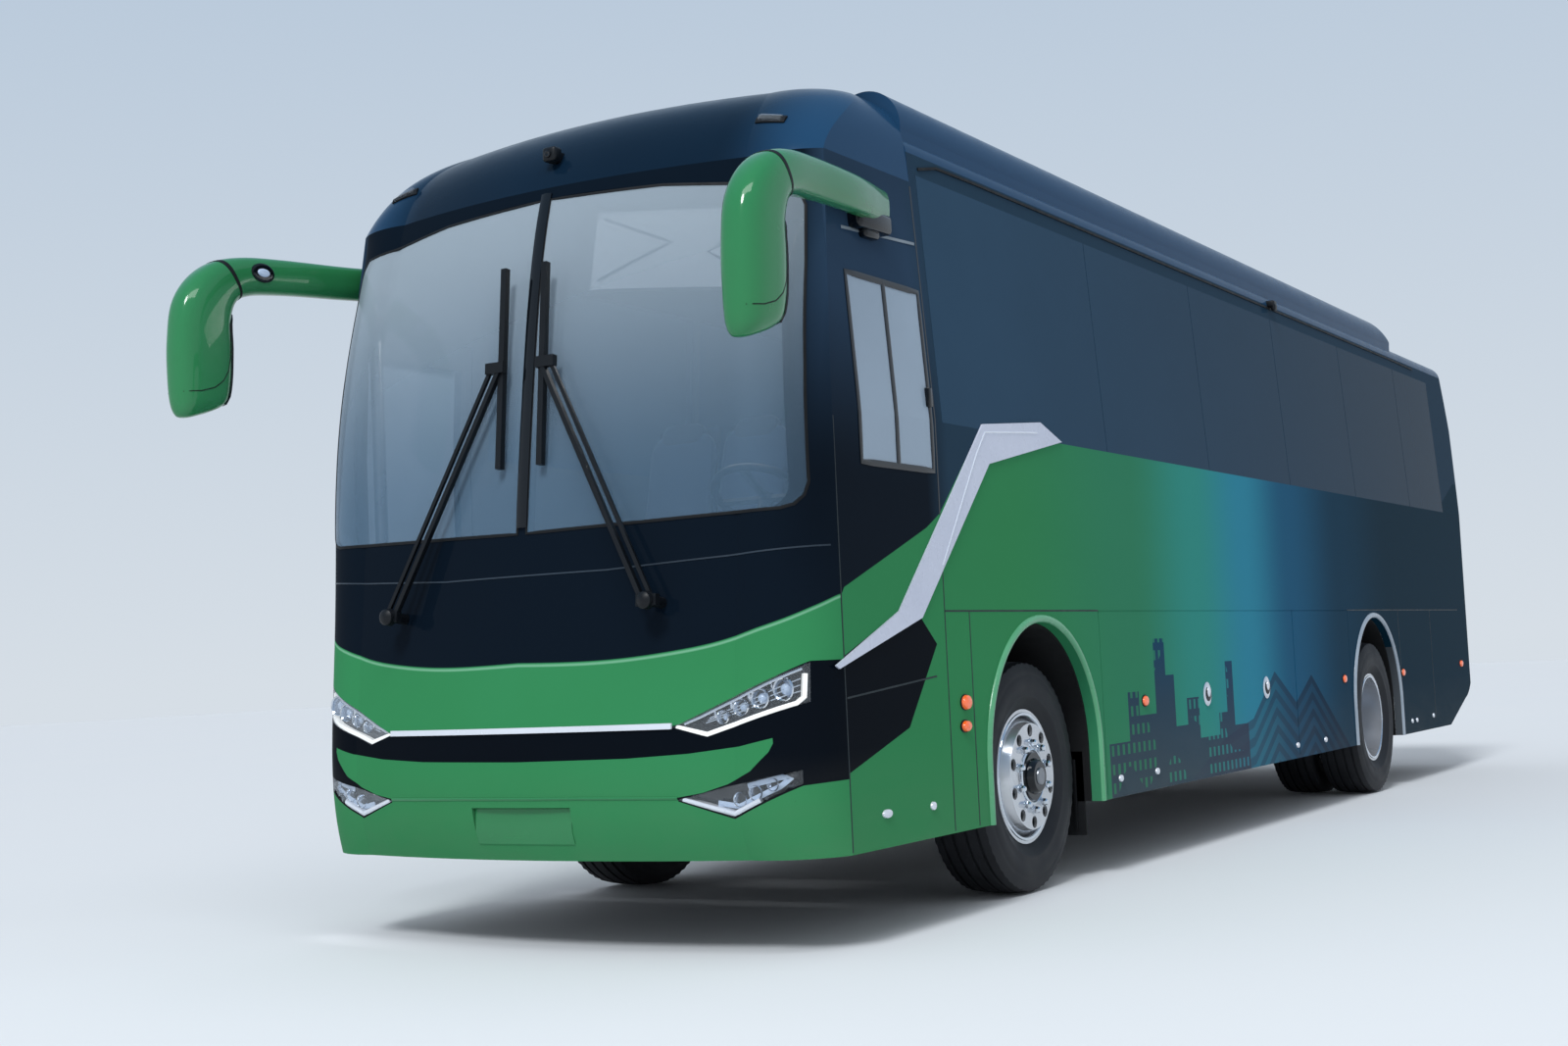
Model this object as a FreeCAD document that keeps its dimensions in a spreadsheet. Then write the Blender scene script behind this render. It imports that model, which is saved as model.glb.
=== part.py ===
# A high-floor battery-electric coach with two axles, driver on the left.
# Millimetres. +Z is up, the front faces -Y and the driver's side is +X.
# The origin is on the ground, midway between the mirror tips and the tail.
import FreeCAD, Part
import os
from types import SimpleNamespace

import Sketcher

os.makedirs("parts", exist_ok=True)
doc = FreeCAD.newDocument("Coach")

# Driving dimensions, in millimetres and degrees. A station is a distance behind the nose.
SIZES = {
    # Whole vehicle
    "length": 10990,
    "width": 2500,
    "overall_height": 3520,
    "mirror_reach": 440,
    "wall": 50,
    "panel_gap": 6,
    "seat_gap": 0.3,
    "overrun": 40,
    # Body section
    "skirt_height": 361,
    "waist_height": 2047,
    "eaves_drop": 330,
    "eaves_lean": 74,
    "roof_drop": 200,
    "roof_corner_width": 110,
    "roof_corner_height": 95,
    "fairing_foot_drop": 370,
    "fairing_side_drop": 230,
    "fairing_foot_inset": 95,
    "fairing_shoulder_drop": 45,
    "fairing_shoulder_inset": 300,
    "fairing_end_setback": 1690,
    "fairing_slope": 500,
    "tail_corner": 110,
    "tail_crown": 35,
    "tail_lean": 170,
    "tail_rise_length": 900,
    "tail_rise": 190,
    # Nose
    "nose_seam_station": 395,
    "nose_seam_lean": 145,
    "nose_shoulder_half": 930,
    "nose_shoulder_depth": 115,
    "nose_rake": 345,
    "cap_length": 705,
    "cap_top_drop": 20,
    "mask_top_drop": 460,
    "mask_foot_height": 866,
    "cap_end_station": 1255,
    # Windscreen
    "glass": 10,
    "screen_sill_height": 1630,
    "screen_sill_rise": 25,
    "screen_top_drop": 510,
    "screen_head_drop": 70,
    "screen_half": 1130,
    "screen_corner": 90,
    "screen_pillar": 46,
    # Lamps and bumper
    "headlamp_tip_half": 690,
    "headlamp_tip_height": 861,
    "headlamp_low_half": 826,
    "headlamp_low_height": 822,
    "headlamp_outer_half": 1185,
    "headlamp_outer_low": 935,
    "headlamp_outer_high": 1080,
    "headlamp_brow_half": 793,
    "headlamp_brow_height": 905,
    "fog_tip_half": 700,
    "fog_tip_height": 593,
    "fog_low_half": 912,
    "fog_low_height": 526,
    "fog_outer_half": 1160,
    "fog_outer_height": 640,
    "fog_brow_height": 690,
    "plate_half": 240,
    "plate_low": 424,
    "plate_high": 569,
    "plate_station": 36,
    "tow_eye_half": 430,
    "tow_eye_radius": 22,
    # Side panels
    "cab_seam_station": 1255,
    "band_head_drop": 420,
    "band_start_station": 1320,
    "band_end_setback": 690,
    "window_sill_height": 2110,
    "window_head_drop": 510,
    "window_pillar": 70,
    "window_joint": 8,
    "joint_station": 3145,
    "joint_count": 5,
    "driver_window_start": 600,
    "driver_window_end": 1225,
    "driver_window_sill": 1830,
    "driver_window_drop": 930,
    "hinge_line": 1264,
    "flap_foot": 380,
    "flap_start_station": 2905,
    "flap_end_setback": 3695,
    "door_start_station": 440,
    "door_end_station": 1230,
    "door_foot": 400,
    "door_head_drop": 880,
    "door_glass_sill": 1180,
    "door_glass_drop": 1000,
    "door_stile": 75,
    "pillar_inset": 130,
    "pillar_radius": 28,
    "pillar_back": 75,
    "door_arm_length": 600,
    "door_arm_height": 1000,
    "door_arm_depth": 60,
    "door_arm_thickness": 34,
    "door_pin_radius": 14,
    # Tail
    "tail_seam_setback": 430,
    "lid_half": 860,
    "lid_foot": 720,
    "lid_head": 1420,
    "vent_foot": 800,
    "vent_tall": 18,
    "vent_pitch": 48,
    "vent_inner": 60,
    "vent_outer": 720,
    "vent_count": 7,
    "rear_window_half": 900,
    "rear_window_sill": 2180,
    "rear_window_drop": 620,
    "tail_lamp_half": 1080,
    "tail_lamp_width": 110,
    "tail_lamp_foot": 1180,
    "tail_lamp_head": 1780,
    # Running gear
    "front_axle_station": 2225,
    "rear_axle_setback": 3025,
    "tyre_radius": 522,
    "tyre_width": 298,
    "tyre_wall": 22,
    "tread_depth": 34,
    "groove_half": 5,
    "groove_depth": 13,
    "front_track_half": 1016,
    "twin_centre_half": 906,
    "twin_spacing": 340,
    "rim_radius": 286,
    "rim_half": 114,
    "rim_flange": 16,
    "rim_metal": 13,
    "disc_offset": 150,
    "disc_metal": 14,
    "hub_radius": 92,
    "hub_cap_radius": 62,
    "hub_cap_length": 38,
    "hub_inner": 20,
    "hand_hole_margin": 6,
    "hand_hole_radius": 27,
    "hand_hole_circle": 205,
    "hand_holes": 10,
    "arch_radius": 600,
    "arch_height": 611,
    "arch_inner": 500,
    "arch_lip_width": 36,
    "arch_lip_proud": 15,
    "liner_skin": 12,
    "spindle_radius": 38,
    "kingpin_half": 900,
    "kingpin_radius": 20,
    "kingpin_length": 230,
    "ear_half": 45,
    "ear_thick": 38,
    "web_thick": 40,
    "ball_pin_radius": 10,
    "ball_clearance": 2,
    "rear_spindle_radius": 52,
    "bellows_radius": 115,
    "saddle_length": 840,
    "saddle_height": 50,
    "saddle_width": 80,
    "diff_width": 210,
    "pinion_radius": 80,
    "steer_arm_length": 190,
    "steer_arm_width": 40,
    "steer_arm_thick": 24,
    "tie_rod_radius": 17,
    "beam_depth": 90,
    "beam_height": 96,
    "beam_drop": 120,
    "rear_tube_radius": 72,
    "diff_radius": 215,
    # Chassis, floors and cabin
    "rail_centre": 430,
    "rail_width": 70,
    "rail_foot": 640,
    "rail_height": 190,
    "rail_front_station": 460,
    "tail_frame_setback": 510,
    "rear_frame_setback": 2330,
    "bay_start_station": 2900,
    "bay_end_setback": 3690,
    "bay_frame": 60,
    "bay_floor_height": 400,
    "bay_skin": 20,
    "cross_count": 5,
    "bay_clearance": 9,
    "jaw_half": 70,
    "jaw_foot": 405,
    "jaw_length": 130,
    "jaw_plate": 25,
    "jaw_bore_radius": 20,
    "liner_wall_foot": 700,
    "step_thick": 30,
    "floor_height": 1280,
    "floor_thick": 50,
    "cab_floor_height": 1050,
    "cab_floor_station": 480,
    "cab_back_station": 1450,
    "aisle_edge": -260,
    "step_count": 4,
    "step_height": 430,
    "battery_start_setback": 2290,
    "battery_end_setback": 610,
    "battery_foot": 560,
    "battery_head": 1180,
    "motor_start_setback": 2720,
    "motor_end_setback": 2400,
    "motor_radius": 200,
    "seat_end_setback": 360,
    "seat_first_station": 2050,
    "seat_rows": 11,
    "seat_inner": 250,
    "seat_outer": 1150,
    "seat_depth": 440,
    "seat_height": 440,
    "seat_back_height": 1120,
    "seat_cushion": 110,
    "seat_back_lean": 170,
    "dash_depth": 800,
    "dash_top_height": 1600,
    "dash_lip_height": 1400,
    "dash_leg_station": 560,
    "dash_side_station": 425,
    "driver_half": 620,
    "driver_seat_station": 1010,
    "driver_seat_width": 480,
    "wheel_station": 930,
    "wheel_height": 1760,
    "wheel_tilt": 32,
    "column_length": 330,
    "wheel_ring_radius": 225,
    "wheel_tube_radius": 17,
    "column_radius": 30,
    # Mirrors and wipers
    "mirror_root_station": 970,
    "mirror_root_drop": 590,
    "mirror_bend_half": 1359,
    "mirror_head_half": 1314,
    "mirror_head_height": 2187,
    "mirror_thick": 60,
    "mirror_depth": 105,
    "wiper_base_half": 612,
    "wiper_base_height": 1337,
    "wiper_hub_half": 102,
    "wiper_tube": 11,
    "chrome_half": 690,
    "chrome_height": 866,
    "chrome_tall": 22,
    "chrome_proud": 8,
    "wiper_base_station": 20,
    "wiper_arm_gap": 46,
    "wiper_blade": 820,
    "wiper_rise": 973,
    "wiper_rake": 5.8,
    "wiper_spindle": 130,
    # Side trim
    "trim_proud": 8,
    "trim_length": 2560,
}
sheet = doc.addObject("Spreadsheet::Sheet", "Sizes")
for row, (alias, value) in enumerate(SIZES.items(), start=1):
    sheet.set(f"A{row}", alias)
    sheet.set(f"B{row}", str(value))
    sheet.setAlias(f"B{row}", alias)
doc.recompute()


class Size:
    """A length as its number now and as the formula that keeps it tied to the sheet."""

    def __init__(self, value, text):
        self.value = value
        self.text = text

    @staticmethod
    def of(item):
        return item if isinstance(item, Size) else Size(item, f"({item})")

    def __add__(self, other):
        other = Size.of(other)
        return Size(self.value + other.value, f"({self.text} + {other.text})")

    def __sub__(self, other):
        other = Size.of(other)
        return Size(self.value - other.value, f"({self.text} - {other.text})")

    def __mul__(self, other):
        other = Size.of(other)
        return Size(self.value * other.value, f"({self.text} * {other.text})")

    def __truediv__(self, other):
        other = Size.of(other)
        return Size(self.value / other.value, f"({self.text} / {other.text})")

    def __neg__(self):
        return Size(-self.value, f"(0 - {self.text})")

    def __radd__(self, other):
        return Size.of(other) + self

    def __rsub__(self, other):
        return Size.of(other) - self

    __rmul__ = __mul__


d = SimpleNamespace(**{alias: Size(value, f"Sizes.{alias}") for alias, value in SIZES.items()})
half_width = d.width / 2
nose = (d.mirror_reach - d.length) / 2
tail = nose + d.length
nodes = {}


def station(distance):
    """A place that distance behind the nose."""
    return nose + distance


def aft(distance):
    """A place that distance ahead of the tail."""
    return tail - distance


def under(distance):
    """A height that distance below the coach's top."""
    return d.overall_height - distance


eaves_height = under(d.eaves_drop)
roof_height = under(d.roof_drop)
fairing_foot = under(d.fairing_foot_drop)
fairing_side = under(d.fairing_side_drop)
mask_top = under(d.mask_top_drop)
band_head = under(d.band_head_drop)
door_head = under(d.door_head_drop)


def bind(item, path, size):
    item.setExpression(path, Size.of(size).text)


def keep(name, item):
    """Names an object as one of the coach's pieces."""
    item.Label = name
    nodes[name] = item
    return item


# Drawing and solid helpers

PLANES = {"XY": "XY_Plane", "XZ": "XZ_Plane", "YZ": "YZ_Plane"}


def new_body(name):
    return doc.addObject("PartDesign::Body", name)


def new_sketch(body, plane, offset=0):
    flat = body.newObject("Sketcher::SketchObject", f"{body.Name}_outline")
    origin = [item for item in body.Origin.OriginFeatures if item.Role == PLANES[plane]][0]
    flat.AttachmentSupport = [(origin, "")]
    flat.MapMode = "FlatFace"
    bind(flat, "AttachmentOffset.Base.z", offset)
    return flat


def pin_point(flat, geometry, corner, place):
    """Ties one point of the sketch to its two lengths."""
    for kind, length in (("DistanceX", place[0]), ("DistanceY", place[1])):
        length = Size.of(length)
        index = flat.addConstraint(Sketcher.Constraint(kind, -1, 1, geometry, corner, length.value))
        flat.setExpression(f"Constraints[{index}]", length.text)


def vector(place):
    return FreeCAD.Vector(Size.of(place[0]).value, Size.of(place[1]).value, 0)


def draw_loop(flat, outline):
    """A closed outline. A third entry, 'via', marks a point that an arc passes through."""
    corners = [index for index, place in enumerate(outline) if len(place) == 2]
    first = flat.GeometryCount
    pieces = []
    for order, index in enumerate(corners):
        after = corners[(order + 1) % len(corners)]
        start, end = outline[index], outline[after]
        between = outline[(index + 1) % len(outline)]
        if len(between) == 3:
            arc = Part.Arc(vector(start), vector(between), vector(end))
            turn = (vector(between) - vector(start)).cross(vector(end) - vector(between))
            forward = turn.z > 0
            number = flat.addGeometry(arc, False)
            pieces.append((number, 1 if forward else 2, 2 if forward else 1, start, between))
        else:
            number = flat.addGeometry(Part.LineSegment(vector(start), vector(end)), False)
            pieces.append((number, 1, 2, start, None))
    for order, (number, head, foot, start, between) in enumerate(pieces):
        following = pieces[(order + 1) % len(pieces)]
        flat.addConstraint(Sketcher.Constraint("Coincident", number, foot, following[0], following[1]))
    for number, head, foot, start, between in pieces:
        pin_point(flat, number, head, start)
        if between is not None:
            guide = flat.addGeometry(Part.Point(vector(between)), True)
            pin_point(flat, guide, 1, between)
            flat.addConstraint(Sketcher.Constraint("PointOnObject", guide, 1, number))
    return first


def draw_circle(flat, centre, radius):
    radius = Size.of(radius)
    number = flat.addGeometry(Part.Circle(vector(centre), FreeCAD.Vector(0, 0, 1), radius.value), False)
    pin_point(flat, number, 3, centre)
    index = flat.addConstraint(Sketcher.Constraint("Radius", number, radius.value))
    flat.setExpression(f"Constraints[{index}]", radius.text)


def prism(name, plane, loops, low, high):
    """A body with the loops as its outline, from low to high along the plane's normal axis."""
    low = Size.of(low)
    high = Size.of(high)
    body = new_body(name)
    flat = new_sketch(body, plane, -high if plane == "XZ" else low)
    for loop in loops:
        if isinstance(loop, tuple):
            draw_circle(flat, loop[0], loop[1])
        else:
            draw_loop(flat, loop)
    pad = body.newObject("PartDesign::Pad", f"{name}_pad")
    pad.Profile = flat
    bind(pad, "Length", high - low)
    return body


def rectangle(low_a, high_a, low_b, high_b):
    return [(low_a, low_b), (high_a, low_b), (high_a, high_b), (low_a, high_b)]


def box(name, x, y, z):
    block = doc.addObject("Part::Box", name)
    for axis, side, (low, high) in (("x", "Length", x), ("y", "Width", y), ("z", "Height", z)):
        low = Size.of(low)
        bind(block, f"Placement.Base.{axis}", low)
        bind(block, side, Size.of(high) - low)
    return block


TURNS = {"x": FreeCAD.Rotation(FreeCAD.Vector(0, 1, 0), 90),
         "y": FreeCAD.Rotation(FreeCAD.Vector(1, 0, 0), -90),
         "z": FreeCAD.Rotation()}


def rod(name, axis, start, end, centre, radius):
    """A cylinder along an axis from start to end. The centre gives its other two coordinates."""
    round_bar = doc.addObject("Part::Cylinder", name)
    start = Size.of(start)
    round_bar.Placement = FreeCAD.Placement(FreeCAD.Vector(), TURNS[axis])
    others = [letter for letter in "xyz" if letter != axis]
    for letter, place in [(axis, start)] + list(zip(others, centre)):
        bind(round_bar, f"Placement.Base.{letter}", place)
    bind(round_bar, "Radius", radius)
    bind(round_bar, "Height", Size.of(end) - start)
    return round_bar


def join(name, items):
    whole = doc.addObject("Part::MultiFuse", name)
    whole.Shapes = items
    return whole


def group(name, items):
    """Like pieces that don't touch, kept as one item."""
    whole = doc.addObject("Part::Compound", name)
    whole.Links = items
    return whole


def cut(name, base, tools):
    left = doc.addObject("Part::Cut", name)
    left.Base = base
    left.Tool = tools[0] if len(tools) == 1 else join(f"{name}_tools", tools)
    return left


def overlap(name, first, second):
    shared = doc.addObject("Part::Common", name)
    shared.Refine = False
    shared.Base = first
    shared.Tool = second
    return shared


def mirror(name, item):
    other = doc.addObject("Part::Mirroring", name)
    other.Source = item
    other.Normal = (1, 0, 0)
    return other


def copy_of(name, item):
    """The same shape again, for a second tree of operations."""
    other = doc.addObject("Part::Compound", name)
    other.Links = [item]
    return other


# Body forms: the outer skin, and the same forms set in by a wall or by the glass

CORNER_SHARES = (0.73, 0.36)
EAVES_SHARES = (0.28, 0.68)
ROUND_SHARE = 0.29
OPEN_SHARE = 0.18
FAIRING_SHARES = (0.2, 0.72)
KNEE_SHARE = 0.6
# One full pane's length against the band behind the first joint, and the front flap's against both flaps
PANE_SHARE = 0.2125
FLAP_SHARE = 0.7143
# Out, forward, up, tall, thick and the turn from level to hanging, along the mirror's housing
MIRROR_SHARES = ((0.88, 0.0, 1.0, 0.95, 0.5, 0), (0.95, 0.37, 1.03, 0.9, 0.55, 0),
                 (1.0, 0.69, 1.02, 1.0, 0.75, 15), (1.015, 0.83, 0.9, 1.15, 1.0, 50),
                 (1.0, 0.885, 0.62, 1.35, 1.05, 85), (0.98, 0.903, 0.22, 1.28, 0.95, 90),
                 (0.967, 0.91, 0.0, 0.9, 0.6, 90))
# Half width and height of bead, flank and shoulder, as shares of the tyre's section
TYRE_SHARES = ((0.62, 0.0), (1.0, 0.48), (0.84, 0.955))
# Middles of the tread's grooves, as shares of its half width
GROOVE_SHARES = (-0.66, -0.22, 0.22, 0.66)
# Station along the trim's length and height against the waist, round the ribbon's edge
TRIM_SHARES = ((0.127, 0.519), (0.331, 0.6175), (0.664, 1.011), (0.906, 1.039), (1.0, 1.003),
               (0.682, 0.928), (0.406, 0.604), (0.137, 0.513))
TAIL_SHARES = (0.23, 0.41)
# Height between skirt and mask top, and the nose's rake there, as shares of the whole
NOSE_SHARES = ((0.0, 0.215), (0.07, 0.032), (0.25, 0.068), (0.474, 0.26), (0.625, 0.405), (0.83, 0.65),
               (1.0, 1.0))
# Height, half width, apex and corner end of the roof cap, as shares
CAP_SHARES = ((0.0, 1.0, 0.0, 0.0), (0.32, 0.989, 0.11, 0.2), (0.61, 0.954, 0.3, 0.5),
              (0.84, 0.862, 0.58, 0.78), (1.0, 0.68, 1.0, 1.0))


def lean_at(height):
    return d.eaves_lean * (height - d.waist_height) / (eaves_height - d.waist_height)


def section_outline(inset):
    """Across the body: upright to the waist, leaning in to the eaves, then the roof's arcs."""
    side = half_width - inset
    eaves = side - d.eaves_lean
    corner = eaves - d.roof_corner_width
    top = eaves_height + d.roof_corner_height - inset
    via_x = eaves - d.roof_corner_width * EAVES_SHARES[0]
    via_z = eaves_height + (d.roof_corner_height - inset) * EAVES_SHARES[1]
    foot = Size.of(0)
    return [(-side, foot), (side, foot), (side, d.waist_height), (eaves, eaves_height),
            (via_x, via_z, "via"), (corner, top), (0, roof_height - inset, "via"), (-corner, top),
            (-via_x, via_z, "via"), (-eaves, eaves_height), (-side, d.waist_height)]


def profile_outline(inset, front):
    """Along the body behind the nose seam: the slanted seam, the roof end and the raised tail."""
    foot = d.skirt_height
    rise_start = tail - d.tail_rise_length - inset
    tail_foot = tail - d.tail_rise_length * 0.36 - inset
    face = tail - inset
    top = roof_height + d.overrun
    return [(station(d.nose_seam_station) - front, foot - front), (rise_start, foot - front),
            (tail_foot, foot + d.tail_rise - front),
            (face - d.tail_lean * 0.3, foot + d.tail_rise * 2, "via"), (face, foot + d.tail_rise * 3.6),
            (face, d.waist_height + d.tail_rise),
            (face - d.tail_lean * 0.35, d.waist_height + d.tail_rise * 3.6, "via"),
            (face - d.tail_lean, eaves_height),
            (face - d.tail_lean * 1.3, roof_height - d.tail_lean * 0.2, "via"),
            (face - d.tail_lean * 2.4, top), (station(d.cap_end_station) - front, top),
            (station(d.cap_end_station) - front, mask_top),
            (station(d.nose_seam_station + d.nose_seam_lean) - front, mask_top),
            (station(d.nose_seam_station) - front, d.waist_height)]


def plan_outline(inset):
    """From above, behind the nose: open sides and a rounded, slightly crowned tail."""
    side = half_width - inset
    open_side = side + d.tail_corner * OPEN_SHARE
    face = tail - inset
    corner = d.tail_corner
    crown = face - d.tail_crown
    near = corner * TAIL_SHARES[0]
    far = corner * TAIL_SHARES[1]
    start = crown - corner * 2
    return [(-open_side, nose), (open_side, nose), (open_side, start),
            (side - near, crown - far, "via"), (side - corner, crown),
            (0, face, "via"), (corner - side, crown),
            (near - side, crown - far, "via"), (-open_side, start)]


def main_form(name, inset, front):
    over = d.overrun * 2
    across = prism(f"{name}_across", "XZ", [section_outline(inset)], nose - over, tail + over)
    along = prism(f"{name}_along", "YZ", [profile_outline(inset, front)], -half_width - over,
                  half_width + over)
    above = prism(f"{name}_above", "XY", [plan_outline(inset)], 0, d.overall_height + over)
    return overlap(name, overlap(f"{name}_side_on", across, along), above)


def nose_outline(side, apex, depth, corner_end, back, inset):
    """One level of the nose from above: a long front arc and two corner arcs."""
    shoulder = d.nose_shoulder_half * (side / half_width) - inset * 0.4
    shoulder_y = apex + depth
    via_x = shoulder + (side - shoulder) * CORNER_SHARES[0]
    via_y = shoulder_y + (corner_end - shoulder_y) * CORNER_SHARES[1]
    return [(-side, back), (-side, corner_end), (-via_x, via_y, "via"), (-shoulder, shoulder_y),
            (0, apex, "via"), (shoulder, shoulder_y), (via_x, via_y, "via"), (side, corner_end),
            (side, back)]


def loft(name, levels):
    """A body through outlines drawn at rising heights."""
    body = new_body(name)
    flats = []
    for height, outline in levels:
        flat = new_sketch(body, "XY", height)
        draw_loop(flat, outline)
        flats.append(flat)
    doc.recompute()
    form = body.newObject("PartDesign::AdditiveLoft", f"{name}_loft")
    form.Profile = flats[0]
    form.Sections = flats[1:]
    form.Ruled = False
    body.Tip = form
    return body


def nose_form(name, inset, spare):
    """The nose from the skirt to the mask's top. spare lengthens it above and below."""
    levels = []
    for height_share, rake_share in NOSE_SHARES:
        height = d.skirt_height + (mask_top - d.skirt_height) * height_share
        side = half_width - inset
        corner_end = station(d.nose_seam_station)
        if height.value > d.waist_height.value:
            side = side - lean_at(height)
            rise = (height - d.waist_height) / (mask_top - d.waist_height)
            corner_end = corner_end + d.nose_seam_lean * rise
        apex = station(d.nose_rake * rake_share) + inset
        if height_share == 0.0:
            height = height - spare
        if height_share == 1.0:
            height = height + spare
        back = station(d.cap_end_station) + spare
        outline = nose_outline(side, apex, d.nose_shoulder_depth, corner_end, back, inset)
        levels.append((height, outline))
    return loft(name, levels)


def cap_form(name, inset, spare):
    """The domed front of the roof, from the mask's top to the fairing."""
    levels = []
    start_side = half_width - lean_at(mask_top)
    start_end = station(d.nose_seam_station + d.nose_seam_lean)
    for height_share, side_share, apex_share, end_share in CAP_SHARES:
        height = mask_top + (under(d.cap_top_drop) - mask_top) * height_share
        side = start_side * side_share - inset
        apex = station(d.nose_rake + d.cap_length * apex_share) + inset
        corner_end = start_end + d.cap_length * end_share + inset * 0.5
        if height_share == 0.0:
            height = height - spare
        if height_share == 1.0:
            height = height - inset
        back = station(d.cap_end_station + d.cap_length)
        outline = nose_outline(side, apex, d.nose_shoulder_depth, corner_end, back, inset)
        levels.append((height, outline))
    return loft(name, levels)


spare = d.overrun
nose_outer = nose_form("nose_outer", Size.of(0), Size.of(0))
nose_inner = nose_form("nose_inner", d.wall, spare)
nose_glass = nose_form("nose_glass", d.glass, spare)
cap_outer = cap_form("cap_outer", Size.of(0), Size.of(0))
cap_inner = cap_form("cap_inner", d.wall, spare)
main_outer = main_form("main_outer", Size.of(0), Size.of(0))
main_inner = main_form("main_inner", d.wall, spare)
main_glass = main_form("main_glass", d.glass, spare)

nose_front = station(0) - spare
seam_outline = [(nose_front, 0), (station(d.nose_seam_station), 0),
                (station(d.nose_seam_station), d.waist_height),
                (station(d.nose_seam_station + d.nose_seam_lean), mask_top),
                (nose_front, mask_top)]
nose_room = prism("nose_room", "YZ", [seam_outline], -half_width - spare, half_width + spare)
nose_shell = overlap("nose_shell", cut("nose_hollow", nose_outer, [nose_inner]), nose_room)
nose_skin = overlap("nose_skin", cut("nose_hollow_skin", nose_outer, [nose_glass]), nose_room)
main_shell = cut("main_shell", main_outer, [main_inner])
main_skin = cut("main_skin", main_outer, [main_glass])


# Front: mask, bumper, windscreen and lamps

def screen_outline():
    """The driver's side pane: a gently bowed sill and head, and round outer corners."""
    inner = d.screen_pillar / 2
    low = d.screen_sill_height
    high = under(d.screen_top_drop)
    outer_low = d.screen_half
    outer_high = d.screen_half - lean_at(high)
    corner = d.screen_corner
    near = corner * ROUND_SHARE
    low_end = low + d.screen_sill_rise
    high_end = high - d.screen_head_drop
    middle = (inner + outer_low - corner) / 2
    return [(inner, low), (middle, low + d.screen_sill_rise * 0.3, "via"), (outer_low - corner, low_end),
            (outer_low - near, low_end + near, "via"), (outer_low, low_end + corner),
            (outer_high, high_end - corner), (outer_high - near, high_end - near, "via"),
            (outer_high - corner, high_end), (middle, high - d.screen_head_drop * 0.3, "via"), (inner, high)]


def headlamp_outline():
    return [(d.headlamp_tip_half, d.headlamp_tip_height), (d.headlamp_low_half, d.headlamp_low_height),
            (d.headlamp_outer_half, d.headlamp_outer_low), (d.headlamp_outer_half, d.headlamp_outer_high),
            (d.headlamp_brow_half, d.headlamp_brow_height)]


def fog_outline():
    return [(d.fog_tip_half, d.fog_tip_height), (d.fog_low_half, d.fog_low_height),
            (d.fog_outer_half, d.fog_outer_height), (d.fog_outer_half, d.fog_brow_height),
            (d.fog_low_half, (d.fog_tip_height + d.fog_brow_height) / 2)]


def through_front(name, outline):
    """A pair of cutters through the front, one each side."""
    left = prism(f"{name}_left", "XZ", [outline], nose_front, station(d.cap_end_station))
    return left, mirror(f"{name}_right", left)


screens = through_front("screen_room", screen_outline())
headlamp_rooms = through_front("headlamp_room", headlamp_outline())
fog_rooms = through_front("fog_room", fog_outline())
wide = half_width + spare
mask_room = box("mask_room", (-wide, wide), (nose_front, station(d.cap_end_station)),
                (d.mask_foot_height, d.overall_height))
bumper_room = box("bumper_room", (-wide, wide), (nose_front, station(d.cap_end_station)),
                  (0, d.mask_foot_height))
plate_room = box("plate_room", (-d.plate_half, d.plate_half), (nose_front, station(d.plate_station)),
                 (d.plate_low, d.plate_high))
keep("front_mask", cut("mask", overlap("mask_blank", nose_shell, mask_room),
                       [screens[0], screens[1], headlamp_rooms[0], headlamp_rooms[1]]))
keep("front_bumper", cut("bumper", overlap("bumper_blank", nose_shell, bumper_room),
                         [headlamp_rooms[0], headlamp_rooms[1], fog_rooms[0], fog_rooms[1], plate_room]))
keep("windscreen", group("screen", [overlap("screen_left", nose_skin, screens[0]),
                                    overlap("screen_right", nose_skin, screens[1])]))
keep("headlamps", group("headlamp_pair", [overlap("headlamp_left", nose_shell, headlamp_rooms[0]),
                                          overlap("headlamp_right", nose_shell, headlamp_rooms[1])]))
keep("fog_lamps", group("fog_pair", [overlap("fog_left", nose_shell, fog_rooms[0]),
                                     overlap("fog_right", nose_shell, fog_rooms[1])]))
cap_room = box("cap_room", (-wide, wide), (nose_front, station(d.cap_end_station)),
               (mask_top, d.overall_height))
keep("roof_front_cap", overlap("cap", cut("cap_hollow", cap_outer, [cap_inner]), cap_room))

# Sides: cab sides, walls with arches and window holes, and the flush glass

cab_end = station(d.cab_seam_station)
tail_seam = aft(d.tail_seam_setback)


def side_box(name, start, end, low, high):
    return box(name, (0, wide), (start, end), (low, high))


def arch_outline(axle, radius, foot):
    """Round over the wheel and straight down from its middle to the foot."""
    return [(axle - radius, foot), (axle + radius, foot), (axle + radius, d.arch_height),
            (axle, d.arch_height + radius, "via"), (axle - radius, d.arch_height)]


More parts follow.
